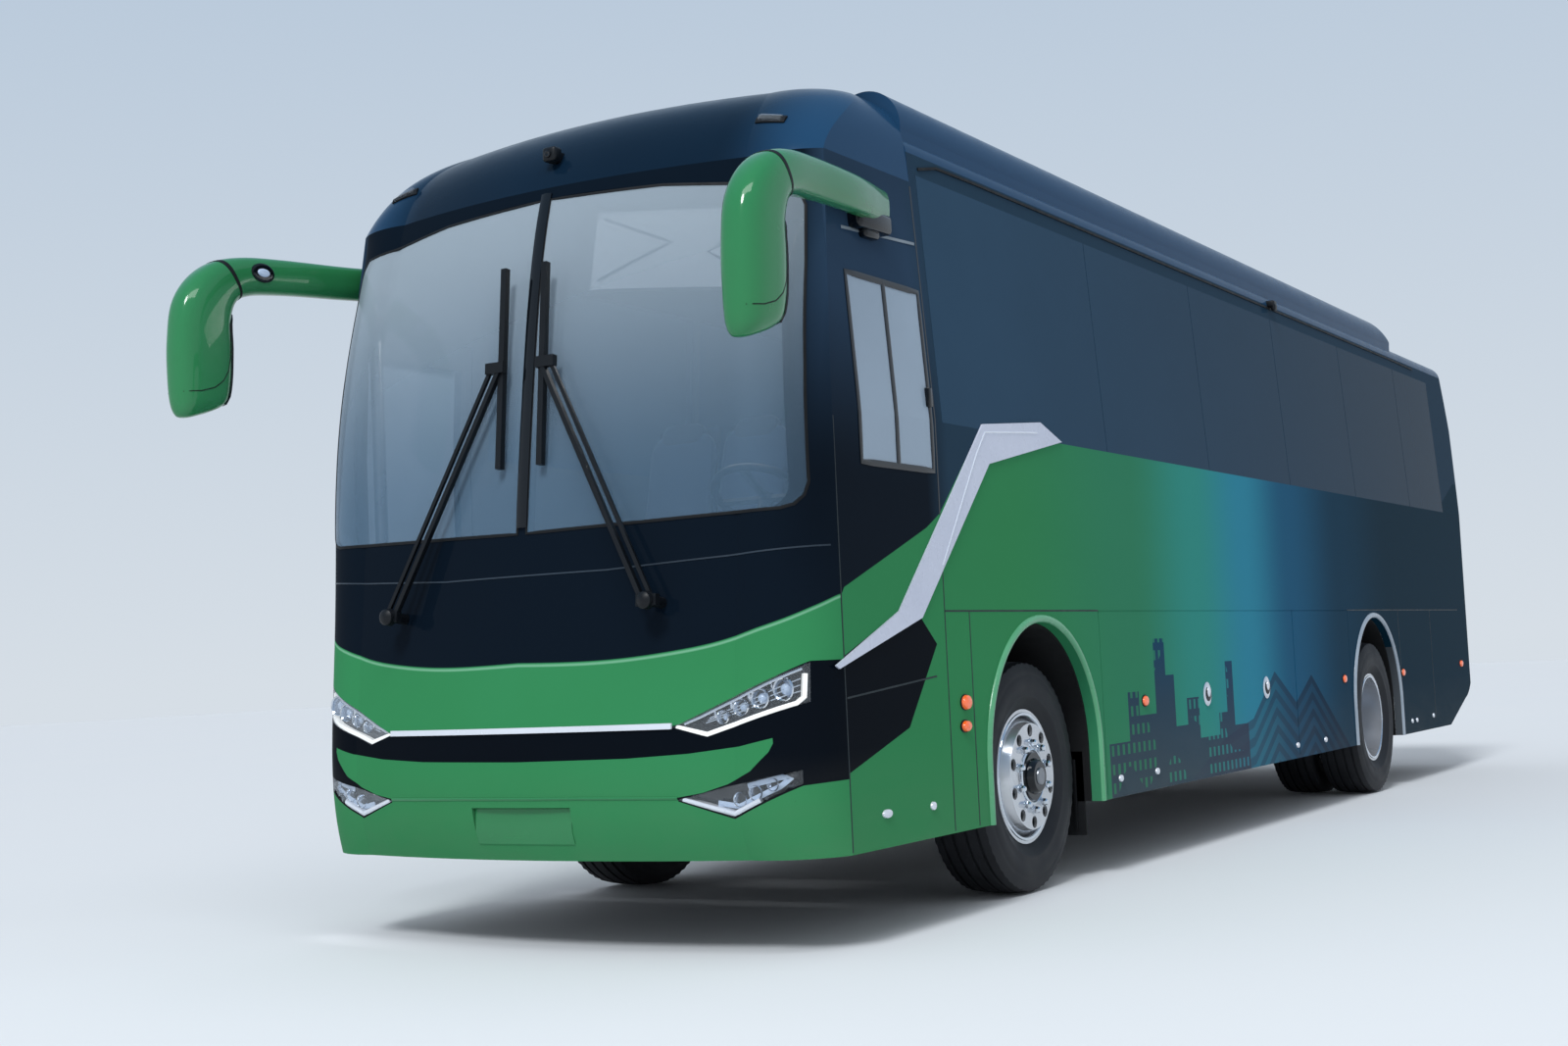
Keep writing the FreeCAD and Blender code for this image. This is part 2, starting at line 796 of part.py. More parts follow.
front_axle_y = station(d.front_axle_station)
rear_axle_y = aft(d.rear_axle_setback)
front_arch = prism("front_arch", "YZ", [arch_outline(front_axle_y, d.arch_radius, 0)], d.arch_inner, wide)
rear_arch = prism("rear_arch", "YZ", [arch_outline(rear_axle_y, d.arch_radius, 0)], d.arch_inner, wide)
first_joint = station(d.joint_station)
band_end = aft(d.band_end_setback)
joints = [first_joint + (band_end - first_joint) * PANE_SHARE * step for step in range(SIZES["joint_count"])]
band_edges = [station(d.band_start_station)] + joints + [band_end]
band_rooms = []
window_holes = []
for number, (start, end) in enumerate(zip(band_edges, band_edges[1:]), start=1):
    band_rooms.append(side_box(f"band_room_{number}", start + d.window_joint / 2, end - d.window_joint / 2,
                               d.waist_height, band_head))
    window_holes.append(side_box(f"window_hole_{number}", start + d.window_pillar / 2,
                                 end - d.window_pillar / 2, d.window_sill_height, under(d.window_head_drop)))
band = side_box("band_room", band_edges[0], band_edges[-1], d.waist_height, band_head)
panes = [overlap(f"pane_{number}", main_skin, room) for number, room in enumerate(band_rooms, start=1)]
keep("side_glass", group("side_panes", panes + [mirror(f"{item.Name}_right", item) for item in panes]))

flap_start = station(d.flap_start_station)
flap_end = aft(d.flap_end_setback)
flap_edges = [flap_start, flap_start + (flap_end - flap_start) * FLAP_SHARE, flap_end]
flap_hole = side_box("flap_hole", flap_edges[0], flap_edges[-1], d.flap_foot, d.hinge_line)
wall_room = side_box("wall_room", cab_end, tail_seam, 0, eaves_height)
wall_blank = overlap("wall_blank", main_shell, wall_room)
skirt_room = side_box("skirt_room", cab_end - spare, tail_seam + spare, 0, d.hinge_line)
keep("side_wall_left", cut("wall", wall_blank, [overlap("band_rebate", main_skin, band), skirt_room]
                           + window_holes))
keep("side_wall_right", mirror("wall_mirror", nodes["side_wall_left"]))
keep("skirt_panels_left", cut("skirts", overlap("skirt_blank", wall_blank, skirt_room),
                              [front_arch, rear_arch, flap_hole]))
keep("skirt_panels_right", mirror("skirt_mirror", nodes["skirt_panels_left"]))

flap_names = ("front", "rear")
gap = d.panel_gap
hinge_radius = gap / 2
flap_hinge_z = d.hinge_line - hinge_radius - d.seat_gap
for place, start, end in zip(flap_names, flap_edges, flap_edges[1:]):
    room = side_box(f"flap_room_{place}", start + gap, end - gap, d.flap_foot, d.hinge_line - gap)
    flap_hinge = rod(f"flap_hinge_{place}", "y", start + gap, end - gap,
                     (half_width - hinge_radius, flap_hinge_z), hinge_radius)
    flap_leaf = overlap(f"flap_leaf_{place}", main_shell, room)
    flap = keep(f"luggage_flap_left_{place}", join(f"flap_{place}", [flap_leaf, flap_hinge]))
    keep(f"luggage_flap_right_{place}", mirror(f"flap_mirror_{place}", flap))

cab_room = side_box("cab_room", nose, cab_end, 0, d.overall_height)
cab_blank = overlap("cab_blank", main_shell, cab_room)
driver_hole = side_box("driver_hole", station(d.driver_window_start), station(d.driver_window_end),
                       d.driver_window_sill, under(d.driver_window_drop))
keep("cab_side_left", cut("cab_left", cab_blank, [driver_hole]))
keep("driver_window", overlap("driver_pane", main_skin, driver_hole))

# Passenger door: it swings out and forward on one arm and stays parallel to the side

door_hole = side_box("door_hole", station(d.door_start_station), station(d.door_end_station),
                     d.door_foot, door_head)
keep("cab_side_right", mirror("cab_mirror", cut("cab_right", cab_blank, [door_hole])))
door_room = side_box("door_room", station(d.door_start_station) + gap * 2, station(d.door_end_station) - gap,
                     d.door_foot + gap, door_head - gap)
door_glass_hole = side_box("door_glass_hole", station(d.door_start_station + d.door_stile) + gap,
                           station(d.door_end_station - d.door_stile) - gap,
                           d.door_glass_sill, under(d.door_glass_drop))
pillar_x = half_width - d.pillar_inset
pillar_y = station(d.door_start_station) + d.pillar_back
pin_y = pillar_y + d.door_arm_length
arm_low = d.door_arm_height
arm_high = arm_low + d.door_arm_depth
bracket_half = d.door_pin_radius * 2
bracket_foot = box("bracket_foot", (pillar_x - bracket_half, half_width - d.wall),
                   (pin_y - bracket_half, pin_y + bracket_half),
                   (arm_low - gap - d.door_arm_thickness, arm_low - gap))
bracket_head = box("bracket_head", (pillar_x - bracket_half, half_width - d.wall),
                   (pin_y - bracket_half, pin_y + bracket_half),
                   (arm_high + gap, arm_high + gap + d.door_arm_thickness))
door_pin = rod("door_pin", "z", arm_low - gap - d.door_arm_thickness, arm_high + gap + d.door_arm_thickness,
               (pillar_x, pin_y), d.door_pin_radius)
door_blank = cut("door_blank", overlap("door_leaf", main_shell, door_room), [door_glass_hole])
keep("door_panel", mirror("door_mirror", join("door_whole", [door_blank, bracket_foot, bracket_head,
                                                             door_pin])))
keep("door_glass", mirror("door_glass_mirror", overlap("door_pane", main_skin, door_glass_hole)))
arm_half = d.door_arm_thickness / 2
arm_bar = box("arm_bar", (pillar_x - arm_half, pillar_x + arm_half), (pillar_y, pin_y), (arm_low, arm_high))
arm_eye = rod("arm_eye", "z", arm_low, arm_high, (pillar_x, pin_y), d.door_pin_radius + arm_half / 2)
arm_bore = rod("arm_bore", "z", arm_low - gap, arm_high + gap, (pillar_x, pin_y),
               d.door_pin_radius + d.seat_gap)
arm_pillar = rod("arm_pillar", "z", d.step_height + d.seat_gap, door_head - d.door_arm_depth,
                 (pillar_x, pillar_y),
                 d.pillar_radius)
keep("door_arm", mirror("arm_mirror", cut("arm", join("arm_blank", [arm_bar, arm_eye, arm_pillar]),
                                          [arm_bore])))

# Tail: wall, lid, window and lamps, then the roof and its fairing


def tail_box(name, left, right, low, high):
    return box(name, (left, right), (tail_seam, tail + spare), (low, high))


lid_hole = tail_box("lid_hole", -d.lid_half, d.lid_half, d.lid_foot, d.lid_head)
rear_window_hole = tail_box("rear_window_hole", -d.rear_window_half, d.rear_window_half,
                            d.rear_window_sill, under(d.rear_window_drop))
lamp_hole = tail_box("tail_lamp_hole", d.tail_lamp_half - d.tail_lamp_width, d.tail_lamp_half,
                     d.tail_lamp_foot, d.tail_lamp_head)
lamp_hole_right = mirror("tail_lamp_hole_right", lamp_hole)
tail_room = box("tail_room", (-wide, wide), (tail_seam, tail + spare), (0, eaves_height))
keep("rear_wall", cut("rear", overlap("rear_blank", main_shell, tail_room),
                      [lid_hole, rear_window_hole, lamp_hole, lamp_hole_right]))
keep("rear_window", overlap("rear_pane", main_skin, rear_window_hole))
keep("tail_lamps", group("tail_lamp_pair", [overlap("tail_lamp_left", main_shell, lamp_hole),
                                            overlap("tail_lamp_right", main_shell, lamp_hole_right)]))
lid_room = tail_box("lid_room", -d.lid_half + gap, d.lid_half - gap, d.lid_foot + gap, d.lid_head - gap)
lid_hinge = rod("lid_hinge", "x", gap - d.lid_half, d.lid_half - gap,
                (tail - hinge_radius, d.lid_head - hinge_radius - d.seat_gap), hinge_radius)
vents = []
for step in range(SIZES["vent_count"]):
    foot = d.vent_foot + d.vent_pitch * step
    for place, low, high in (("left", d.vent_inner, d.vent_outer), ("right", -d.vent_outer, -d.vent_inner)):
        vents.append(tail_box(f"vent_{place}_{step + 1}", low, high, foot, foot + d.vent_tall))
lid_leaf = cut("lid_leaf", overlap("lid_blank", main_shell, lid_room), vents)
keep("motor_bay_lid", join("lid", [lid_leaf, lid_hinge]))
roof_room = box("roof_room", (-wide, wide), (cab_end, tail + spare), (eaves_height, d.overall_height))
keep("roof_shell", overlap("roof", main_shell, roof_room))


def fairing_section(inset):
    side = half_width - d.fairing_foot_inset - inset
    shoulder = half_width - d.fairing_shoulder_inset - inset
    shoulder_z = under(d.fairing_shoulder_drop) - inset
    bend_x = side - (side - shoulder) * FAIRING_SHARES[0]
    bend_z = fairing_side + (shoulder_z - fairing_side) * FAIRING_SHARES[1]
    foot = fairing_foot
    return [(-side, foot), (side, foot), (side, fairing_side), (bend_x, bend_z, "via"),
            (shoulder, shoulder_z), (0, d.overall_height - inset, "via"), (-shoulder, shoulder_z),
            (-bend_x, bend_z, "via"), (-side, fairing_side)]


def fairing_profile(inset):
    end = aft(d.fairing_end_setback) - inset
    foot = fairing_foot
    top = d.overall_height + spare
    return [(cab_end, foot), (end, foot), (end, roof_height), (end - d.fairing_slope, top), (cab_end, top)]


def fairing_form(name, inset):
    across = prism(f"{name}_across", "XZ", [fairing_section(inset)], cab_end, tail)
    along = prism(f"{name}_along", "YZ", [fairing_profile(inset)], -wide, wide)
    return overlap(name, across, along)


keep("roof_fairing", cut("fairing", fairing_form("fairing_outer", Size.of(0)),
                         [fairing_form("fairing_inner", d.wall), main_outer]))

# Silver side trim: a flat ribbon that climbs from the nose corner to the window band


def trim_outline():
    places = []
    for along, up in TRIM_SHARES:
        places.append((station(d.trim_length * along), d.waist_height * up))
    return places


trim_left = prism("trim", "YZ", [trim_outline()], half_width, half_width + d.trim_proud)
trim_back = side_box("trim_back", cab_end + gap, station(d.trim_length), 0, d.overall_height)
trim_right = mirror("trim_right", overlap("trim_rear_part", trim_left, trim_back))


# Wheels, built at the wheel's centre with the axle along X and then placed

def revolve(name, outline, centre):
    """A body turned about the X axis, from an outline given as distance along the axle and radius."""
    body = new_body(name)
    flat = new_sketch(body, "XZ")
    draw_loop(flat, outline)
    turned = body.newObject("PartDesign::Revolution", f"{name}_turned")
    turned.Profile = flat
    turned.ReferenceAxis = (flat, ["H_Axis"])
    turned.Angle = 360
    bind(body, "Placement.Base.x", centre[0])
    bind(body, "Placement.Base.y", centre[1])
    bind(body, "Placement.Base.z", centre[2])
    return body


def arch_lip(name, axle):
    """A half-round moulding up one side of a wheel's arch, over it and down the other."""
    low = d.arch_radius
    middle = low + d.arch_lip_width / 2
    high = low + d.arch_lip_width
    bow = revolve(f"{name}_ring", [(0, low), (d.arch_lip_proud, middle, "via"), (0, high)],
                  (half_width, axle, d.arch_height))
    room = side_box(f"{name}_room", axle - high - spare, axle + high + spare, d.arch_height, d.arch_height * 2 + high)
    edge = half_width + d.arch_lip_proud
    legs = []
    for place, sign in (("front", -1), ("back", 1)):
        legs.append(prism(f"{name}_{place}", "XY", [[
            (half_width, axle + low * sign), (edge, axle + middle * sign, "via"), (half_width, axle + high * sign)]],
            d.skirt_height, d.arch_height))
    return join(name, [overlap(f"{name}_bow", bow, room)] + legs)


front_lip = arch_lip("front_lip", front_axle_y)
rear_lip = arch_lip("rear_lip", rear_axle_y)
keep("side_trims", group("trim_set", [trim_left, trim_right, front_lip, mirror("front_lip_right", front_lip),
                                      rear_lip, mirror("rear_lip_right", rear_lip)]))


def hand_holes(body):
    """The ring of round holes in the wheel's disc."""
    flat = new_sketch(body, "YZ", -d.twin_spacing)
    draw_circle(flat, (0, d.hand_hole_circle), d.hand_hole_radius)
    doc.recompute()
    hole = body.newObject("PartDesign::Pocket", f"{body.Name}_hole")
    hole.Profile = flat
    hole.Reversed = True
    bind(hole, "Length", d.twin_spacing * 2)
    ring = body.newObject("PartDesign::PolarPattern", f"{body.Name}_ring")
    ring.Originals = [hole]
    ring.Axis = ([item for item in body.Origin.OriginFeatures if item.Role == "X_Axis"][0], [""])
    ring.Angle = 360
    ring.Occurrences = SIZES["hand_holes"]
    body.Tip = ring


def tyre_outline():
    half = d.tyre_width / 2
    rise = d.tyre_radius - d.rim_radius
    seat = d.rim_radius + d.seat_gap
    outer = [(half * along, seat + (rise - d.seat_gap) * up) for along, up in TYRE_SHARES]
    bead, flank, shoulder = outer
    inner_flank = (flank[0] - d.tyre_wall, flank[1])
    inner_bead = (bead[0] - d.tyre_wall, bead[1])
    inner_shoulder = (shoulder[0] - d.tyre_wall, shoulder[1] - d.tread_depth)

    def left(place):
        return (-place[0], place[1])

    tread = []
    for share in GROOVE_SHARES:
        middle = shoulder[0] * share
        top = d.tyre_radius - (d.tyre_radius - shoulder[1]) * share * share
        start, end = middle - d.groove_half, middle + d.groove_half
        floor = top - d.groove_depth
        tread += [(start, top), (start, floor), (end, floor), (end, top)]
    return [left(bead), left(flank) + ("via",), left(shoulder)] + tread + [
            shoulder, flank + ("via",), bead, inner_bead, inner_flank + ("via",), inner_shoulder,
            (0, d.tyre_radius - d.tread_depth, "via"), left(inner_shoulder), left(inner_flank) + ("via",),
            left(inner_bead)]


def barrel(middle, inward):
    """The rim's bead seats and flanges, from its outer end to its inner end."""
    seat = d.rim_radius
    high = seat + d.rim_flange
    lip = d.rim_metal
    low = seat - d.rim_metal
    outer = middle + d.rim_half * inward
    inner = middle - d.rim_half * inward
    lip = lip * inward
    return [(outer, low), (outer, high), (outer - lip / 2, high), (outer - lip, seat), (inner + lip, seat),
            (inner + lip / 2, high), (inner, high), (inner, low)]


def front_rim_outline():
    face = d.disc_offset
    metal = d.disc_metal
    dish = d.hand_hole_circle + d.hand_hole_radius + d.hand_hole_margin
    low = d.rim_radius - d.rim_metal
    knee = d.rim_half * KNEE_SHARE
    bore = d.spindle_radius + d.seat_gap
    cap = face + d.hub_cap_length
    return [(cap, 0), (cap, d.hub_cap_radius), (face, d.hub_cap_radius * 1.25), (face, dish), (knee, low)] + \
        barrel(Size.of(0), 1) + \
        [(knee - metal * 1.6, low), (face - metal, dish - d.hand_hole_margin / 2), (face - metal, d.hub_radius),
         (-d.hub_inner, d.hub_radius), (-d.hub_inner, bore), (face - metal, bore), (face - metal, 0)]


def twin_rim_outline():
    metal = d.disc_metal
    dish = d.hand_hole_circle + d.hand_hole_radius + d.hand_hole_margin
    low = d.rim_radius - d.rim_metal
    middle = d.twin_spacing / 2
    knee = middle - d.rim_half * KNEE_SHARE
    bore = d.rear_spindle_radius + d.seat_gap
    cap = middle - d.hub_cap_length
    outer = barrel(middle, 1)
    inner = [(-along, up) for along, up in reversed(outer)]
    return [(cap, 0), (cap, d.hub_radius), (metal, d.hub_radius * 1.2), (metal, dish), (knee, low)] + outer + \
        [(knee - metal * 1.6, low), (0, dish + metal), (metal * 1.6 - knee, low)] + inner + \
        [(-knee, low), (-metal, dish), (-metal, d.hub_radius * 1.2), (-cap, d.hub_radius), (-cap, bore),
         (cap - metal, bore), (cap - metal, 0)]


front_centre = (d.front_track_half, front_axle_y, d.tyre_radius)
rear_centre = (d.twin_centre_half, rear_axle_y, d.tyre_radius)
tyre_front = revolve("tyre_front", tyre_outline(), front_centre)
rim_front = revolve("rim_front", front_rim_outline(), front_centre)
hand_holes(rim_front)
rim_rear = revolve("rim_rear", twin_rim_outline(), rear_centre)
hand_holes(rim_rear)
twins = []
for place, side in (("outer", 1), ("inner", -1)):
    twins.append(revolve(f"tyre_rear_{place}", tyre_outline(),
                         (d.twin_centre_half + d.twin_spacing / 2 * side, rear_axle_y, d.tyre_radius)))
tyre_rear = group("tyre_rear", twins)
for place, item in (("tyre_front", tyre_front), ("rim_front", rim_front), ("tyre_rear", tyre_rear),
                    ("rim_rear", rim_rear)):
    keep(f"{place}_left", item)
    keep(f"{place}_right", mirror(f"{place}_mirror", item))

# Front axle: a dropped beam, kingpins, knuckles and the tie rod

axle_z = d.tyre_radius
eye_half = d.beam_height / 2
beam_tip = d.kingpin_half + d.kingpin_radius
beam_shoulder = d.kingpin_half - d.ear_half * 2
beam_flat = beam_shoulder - d.beam_drop
beam = prism("beam", "XZ", [[(-beam_tip, axle_z - eye_half), (-beam_shoulder, axle_z - eye_half),
                             (-beam_flat, axle_z - eye_half - d.beam_drop),
                             (beam_flat, axle_z - eye_half - d.beam_drop),
                             (beam_shoulder, axle_z - eye_half), (beam_tip, axle_z - eye_half),
                             (beam_tip, axle_z + eye_half), (beam_shoulder, axle_z + eye_half),
                             (beam_flat, axle_z + eye_half - d.beam_drop),
                             (-beam_flat, axle_z + eye_half - d.beam_drop),
                             (-beam_shoulder, axle_z + eye_half), (-beam_tip, axle_z + eye_half)]],
             front_axle_y - d.beam_depth / 2, front_axle_y + d.beam_depth / 2)
pin_reach = d.kingpin_length / 2
kingpin = rod("kingpin", "z", axle_z - pin_reach, axle_z + pin_reach, (d.kingpin_half, front_axle_y),
              d.kingpin_radius)
keep("front_axle", join("front_beam", [beam, kingpin, mirror("kingpin_right", kingpin)]))

ear_in = d.kingpin_half - d.ear_half
ear_out = d.kingpin_half + d.ear_half + d.web_thick
ear_y = (front_axle_y - d.ear_half, front_axle_y + d.ear_half)
ear_low = axle_z - eye_half - gap
ear_high = axle_z + eye_half + gap
web_in = d.kingpin_half + d.ear_half
lower_ear = box("lower_ear", (ear_in, ear_out), ear_y, (ear_low - d.ear_thick, ear_low))
upper_ear = box("upper_ear", (ear_in, ear_out), ear_y, (ear_high, ear_high + d.ear_thick))
ear_web = box("ear_web", (web_in, ear_out), ear_y, (ear_low - d.ear_thick, ear_high + d.ear_thick))
spindle = rod("spindle", "x", web_in, d.front_track_half + d.disc_offset - d.disc_metal - gap,
              (front_axle_y, axle_z), d.spindle_radius)
ball_y = front_axle_y + d.steer_arm_length
arm_low_z = ear_low - d.ear_thick
steer_arm = box("steer_arm", (d.kingpin_half - d.steer_arm_width / 2, d.kingpin_half + d.steer_arm_width / 2),
                (front_axle_y + d.ear_half, ball_y + d.steer_arm_width / 2),
                (arm_low_z, arm_low_z + d.steer_arm_thick))
rod_z = arm_low_z - d.tie_rod_radius - gap
ball_pin = rod("ball_pin", "z", rod_z - d.tie_rod_radius, arm_low_z, (d.kingpin_half, ball_y),
               d.ball_pin_radius)
king_bore = rod("king_bore", "z", ear_low - d.ear_thick - gap, ear_high + d.ear_thick + gap,
                (d.kingpin_half, front_axle_y), d.kingpin_radius + d.seat_gap)
knuckle = keep("knuckle_left", cut("knuckle", join("knuckle_blank", [lower_ear, upper_ear, ear_web, spindle,
                                                                     steer_arm, ball_pin]), [king_bore]))
keep("knuckle_right", mirror("knuckle_mirror", knuckle))
rod_eye = rod("rod_eye", "z", rod_z - d.tie_rod_radius, rod_z + d.tie_rod_radius, (d.kingpin_half, ball_y),
              d.ball_pin_radius * 2.6)
rod_foot = rod_z - d.tie_rod_radius - gap
rod_head = rod_z + d.tie_rod_radius + gap
rod_bore = rod("rod_bore", "z", rod_foot, rod_head, (d.kingpin_half, ball_y), d.ball_pin_radius + d.seat_gap)
rod_bore_right = rod("rod_bore_right", "z", rod_foot, rod_head, (-d.kingpin_half, ball_y),
                     d.ball_pin_radius + d.ball_clearance)
rod_bar = rod("rod_bar", "x", -d.kingpin_half, d.kingpin_half, (ball_y, rod_z), d.tie_rod_radius)
keep("tie_rod", cut("tie", join("tie_blank", [rod_bar, rod_eye, mirror("rod_eye_right", rod_eye)]),
                    [rod_bore, rod_bore_right]))

# Rear axle: tube, differential and spring saddles; air springs up to the rails

rear_tube_end = d.twin_centre_half - d.twin_spacing / 2 - d.rim_half
spindle_end = d.twin_centre_half + d.twin_spacing / 2 - d.hub_cap_length - d.disc_metal - gap
rear_tube = rod("rear_tube", "x", -rear_tube_end, rear_tube_end, (rear_axle_y, axle_z), d.rear_tube_radius)
rear_spindle = rod("rear_spindle", "x", -spindle_end, spindle_end, (rear_axle_y, axle_z),
                   d.rear_spindle_radius)
diff = rod("diff", "y", rear_axle_y - d.diff_width / 2, rear_axle_y + d.diff_width / 2, (0, axle_z),
           d.diff_radius)
motor_y = aft(d.motor_start_setback)
pinion = rod("pinion", "y", rear_axle_y, motor_y, (0, axle_z), d.pinion_radius)
saddle_top = axle_z + d.saddle_height
saddles = []
for side in (-1, 1):
    middle = d.rail_centre * side
    saddles.append(box(f"saddle_{side + 1}", (middle - d.saddle_width / 2, middle + d.saddle_width / 2),
                       (rear_axle_y - d.saddle_length / 2, rear_axle_y + d.saddle_length / 2),
                       (axle_z - d.saddle_height, saddle_top)))
keep("rear_axle", join("rear_beam", [rear_tube, rear_spindle, diff, pinion] + saddles))
springs = []
for side in (-1, 1):
    beam_top = axle_z + eye_half - d.beam_drop
    springs.append(rod(f"spring_front_{side + 1}", "z", beam_top, d.rail_foot,
                       (d.rail_centre * side, front_axle_y), d.bellows_radius))
    for place, along in (("fore", -1), ("aft", 1)):
        offset = (d.saddle_length / 2 - d.bellows_radius) * along
        springs.append(rod(f"spring_{place}_{side + 1}", "z", saddle_top, d.rail_foot,
                           (d.rail_centre * side, rear_axle_y + offset), d.bellows_radius))
keep("air_springs", group("bellows", springs))
keep("drive_motor_block", rod("motor", "y", motor_y, aft(d.motor_end_setback), (0, axle_z),
                              d.motor_radius))


# Chassis: rails, bulkhead frames, bay sills and the rear tow jaw

inner_face = half_width - d.wall - d.seat_gap
rail_in = d.rail_centre - d.rail_width / 2
rail_out = d.rail_centre + d.rail_width / 2
rail_top = d.rail_foot + d.rail_height
deck_foot = d.floor_height - d.floor_thick
bar = d.bay_frame


def bulkhead(name, end, low):
    """A cross frame with posts in line with the rails. Its rear face is at the given end."""
    top = deck_foot
    windows = [rectangle(-rail_in, rail_in, low + bar, top - bar),
               rectangle(rail_out, inner_face - bar, low + bar, top - bar),
               rectangle(bar - inner_face, -rail_out, low + bar, top - bar)]
    frame = rectangle(-inner_face, inner_face, low, top)
    return prism(name, "XZ", [frame] + windows, end - bar, end)


def rail(name, start, end, side):
    middle = d.rail_centre * side
    return box(name, (middle - d.rail_width / 2, middle + d.rail_width / 2), (start, end),
               (d.rail_foot, rail_top))


bay_start = station(d.bay_start_station)
bay_end = aft(d.bay_end_setback)
sill_out = inner_face - d.bay_clearance
frame_front = station(d.rail_front_station)
frame_tail = aft(d.tail_frame_setback)
front_cross = box("front_cross", (-rail_out, rail_out), (frame_front, frame_front + bar),
                  (d.rail_foot, rail_top))
tail_cross = box("tail_cross", (-rail_out, rail_out), (frame_tail - bar, frame_tail),
                 (d.rail_foot, rail_top))
jaw_parts = []
for place, low in (("low", d.jaw_foot), ("high", d.jaw_foot + d.jaw_plate + bar)):
    jaw_parts.append(box(f"jaw_{place}", (-d.jaw_half, d.jaw_half), (frame_tail, frame_tail + d.jaw_length),
                         (low, low + d.jaw_plate)))
jaw_bore = rod("jaw_bore", "z", d.jaw_foot - gap, d.jaw_foot + d.jaw_plate * 2 + bar + gap,
               (0, frame_tail + d.jaw_length / 2), d.jaw_bore_radius)
jaw_back = box("jaw_back", (-d.jaw_half, d.jaw_half), (frame_tail - bar, frame_tail),
               (d.jaw_foot, d.rail_foot + bar))
front_rails = join("front_rails", [front_cross]
                   + [rail(f"front_rail_{side + 1}", frame_front, bay_start - bar, side) for side in (-1, 1)])
rear_rails = join("rear_rails", [tail_cross, jaw_back] + jaw_parts
                  + [rail(f"rear_rail_{side + 1}", bay_end + bar, frame_tail, side) for side in (-1, 1)])
keep("chassis_rails", group("rail_set", [front_rails, cut("rear_rails_bored", rear_rails, [jaw_bore])]))
keep("body_frames", group("frame_set", [
    cut("cab_frame_notched", bulkhead("cab_frame", station(d.cab_back_station), d.rail_foot), [front_rails]),
    bulkhead("bay_front_frame", bay_start, d.bay_floor_height),
    bulkhead("bay_rear_frame", bay_end + bar, d.bay_floor_height),
    cut("rear_frame_notched", bulkhead("rear_frame", aft(d.rear_frame_setback), d.rail_foot), [rear_rails]),
    cut("tail_frame_notched", bulkhead("tail_frame", frame_tail, d.rail_foot), [rear_rails])]))
ladder = []
for side in (-1, 1):
    edge = (sill_out - bar, sill_out) if side > 0 else (-sill_out, bar - sill_out)
    ladder.append(box(f"sill_{side + 1}", edge, (bay_start, bay_end),
                      (d.bay_floor_height, d.bay_floor_height + bar)))
cross_pitch = (bay_end - bay_start) / (SIZES["cross_count"] + 1)
for step in range(SIZES["cross_count"]):
    middle = bay_start + cross_pitch * (step + 1)
    ladder.append(box(f"cross_{step + 1}", (bar - sill_out, sill_out - bar),
                      (middle - bar / 2, middle + bar / 2), (d.bay_floor_height, d.bay_floor_height + bar)))
keep("bay_ladder", join("ladder", ladder))

# Floors, steps, luggage bay and wheel-arch liners

deck = box("deck", (-inner_face, inner_face), (station(d.cab_back_station), frame_tail),
           (deck_foot, d.floor_height))
cab_floor_y = station(d.cab_floor_station)
cab_back_y = station(d.cab_back_station)
cab_floor_end = cab_back_y - bar - d.seat_gap
cab_plate = box("cab_plate", (d.aisle_edge, inner_face), (cab_floor_y, cab_floor_end),
                (d.cab_floor_height - d.floor_thick, d.cab_floor_height))
cab_beam = box("cab_beam", (d.aisle_edge, inner_face), (cab_floor_end - bar, cab_floor_end),
               (rail_top + d.seat_gap, d.cab_floor_height))
keep("cabin_floors", group("floors", [deck, join("cab_base", [cab_plate, cab_beam])]))


def step_outline():
    """Treads that climb from the door to the aisle, with a sloping underside."""
    count = SIZES["step_count"]
    start = -inner_face + d.bay_clearance
    run = (d.aisle_edge - d.seat_gap - start) / count
    rise = (d.cab_floor_height - d.step_height) / (count - 1)
    places = [(start, d.step_height - d.step_thick)]
    for number in range(count):
        level = d.step_height + rise * number
        places.append((start + run * number, level))
        places.append((start + run * (number + 1), level))
    places.append((start + run * count, d.cab_floor_height - d.step_thick))
    places.append((start + run, d.step_height - d.step_thick))
    return places


keep("entry_steps", prism("steps", "XZ", [step_outline()], cab_floor_y, cab_floor_end))


def bay_outline():
    low = d.bay_floor_height + bar + d.seat_gap
    front = bay_start + d.seat_gap
    back = bay_end - d.seat_gap
    top = deck_foot - d.seat_gap
    skin = d.bay_skin
    return [(front, low), (back, low), (back, top), (back - skin, top), (back - skin, low + skin),
            (front + skin, low + skin), (front + skin, top), (front, top)]


keep("luggage_bay", prism("bay", "YZ", [bay_outline()], -sill_out, sill_out))


def liner(name, axle):
    """A tunnel over the wheel with a wall at its inner side."""
    skin = d.liner_skin
    outer = arch_outline(axle, d.arch_radius, d.skirt_height)
    inner = arch_outline(axle, d.arch_radius - skin, d.skirt_height - skin)
    wall = prism(f"{name}_wall", "YZ", [outer], d.arch_inner, d.arch_inner + skin)
    low = box(f"{name}_low", (d.arch_inner - skin, d.arch_inner + skin * 2),
              (axle - d.arch_radius * 2, axle + d.arch_radius * 2), (0, d.liner_wall_foot))
    tunnel = cut(f"{name}_tunnel", prism(f"{name}_outer", "YZ", [outer], d.arch_inner, inner_face),
                 [prism(f"{name}_inner", "YZ", [inner], d.arch_inner - skin, wide)])
    return join(name, [tunnel, cut(f"{name}_upper", wall, [low])])


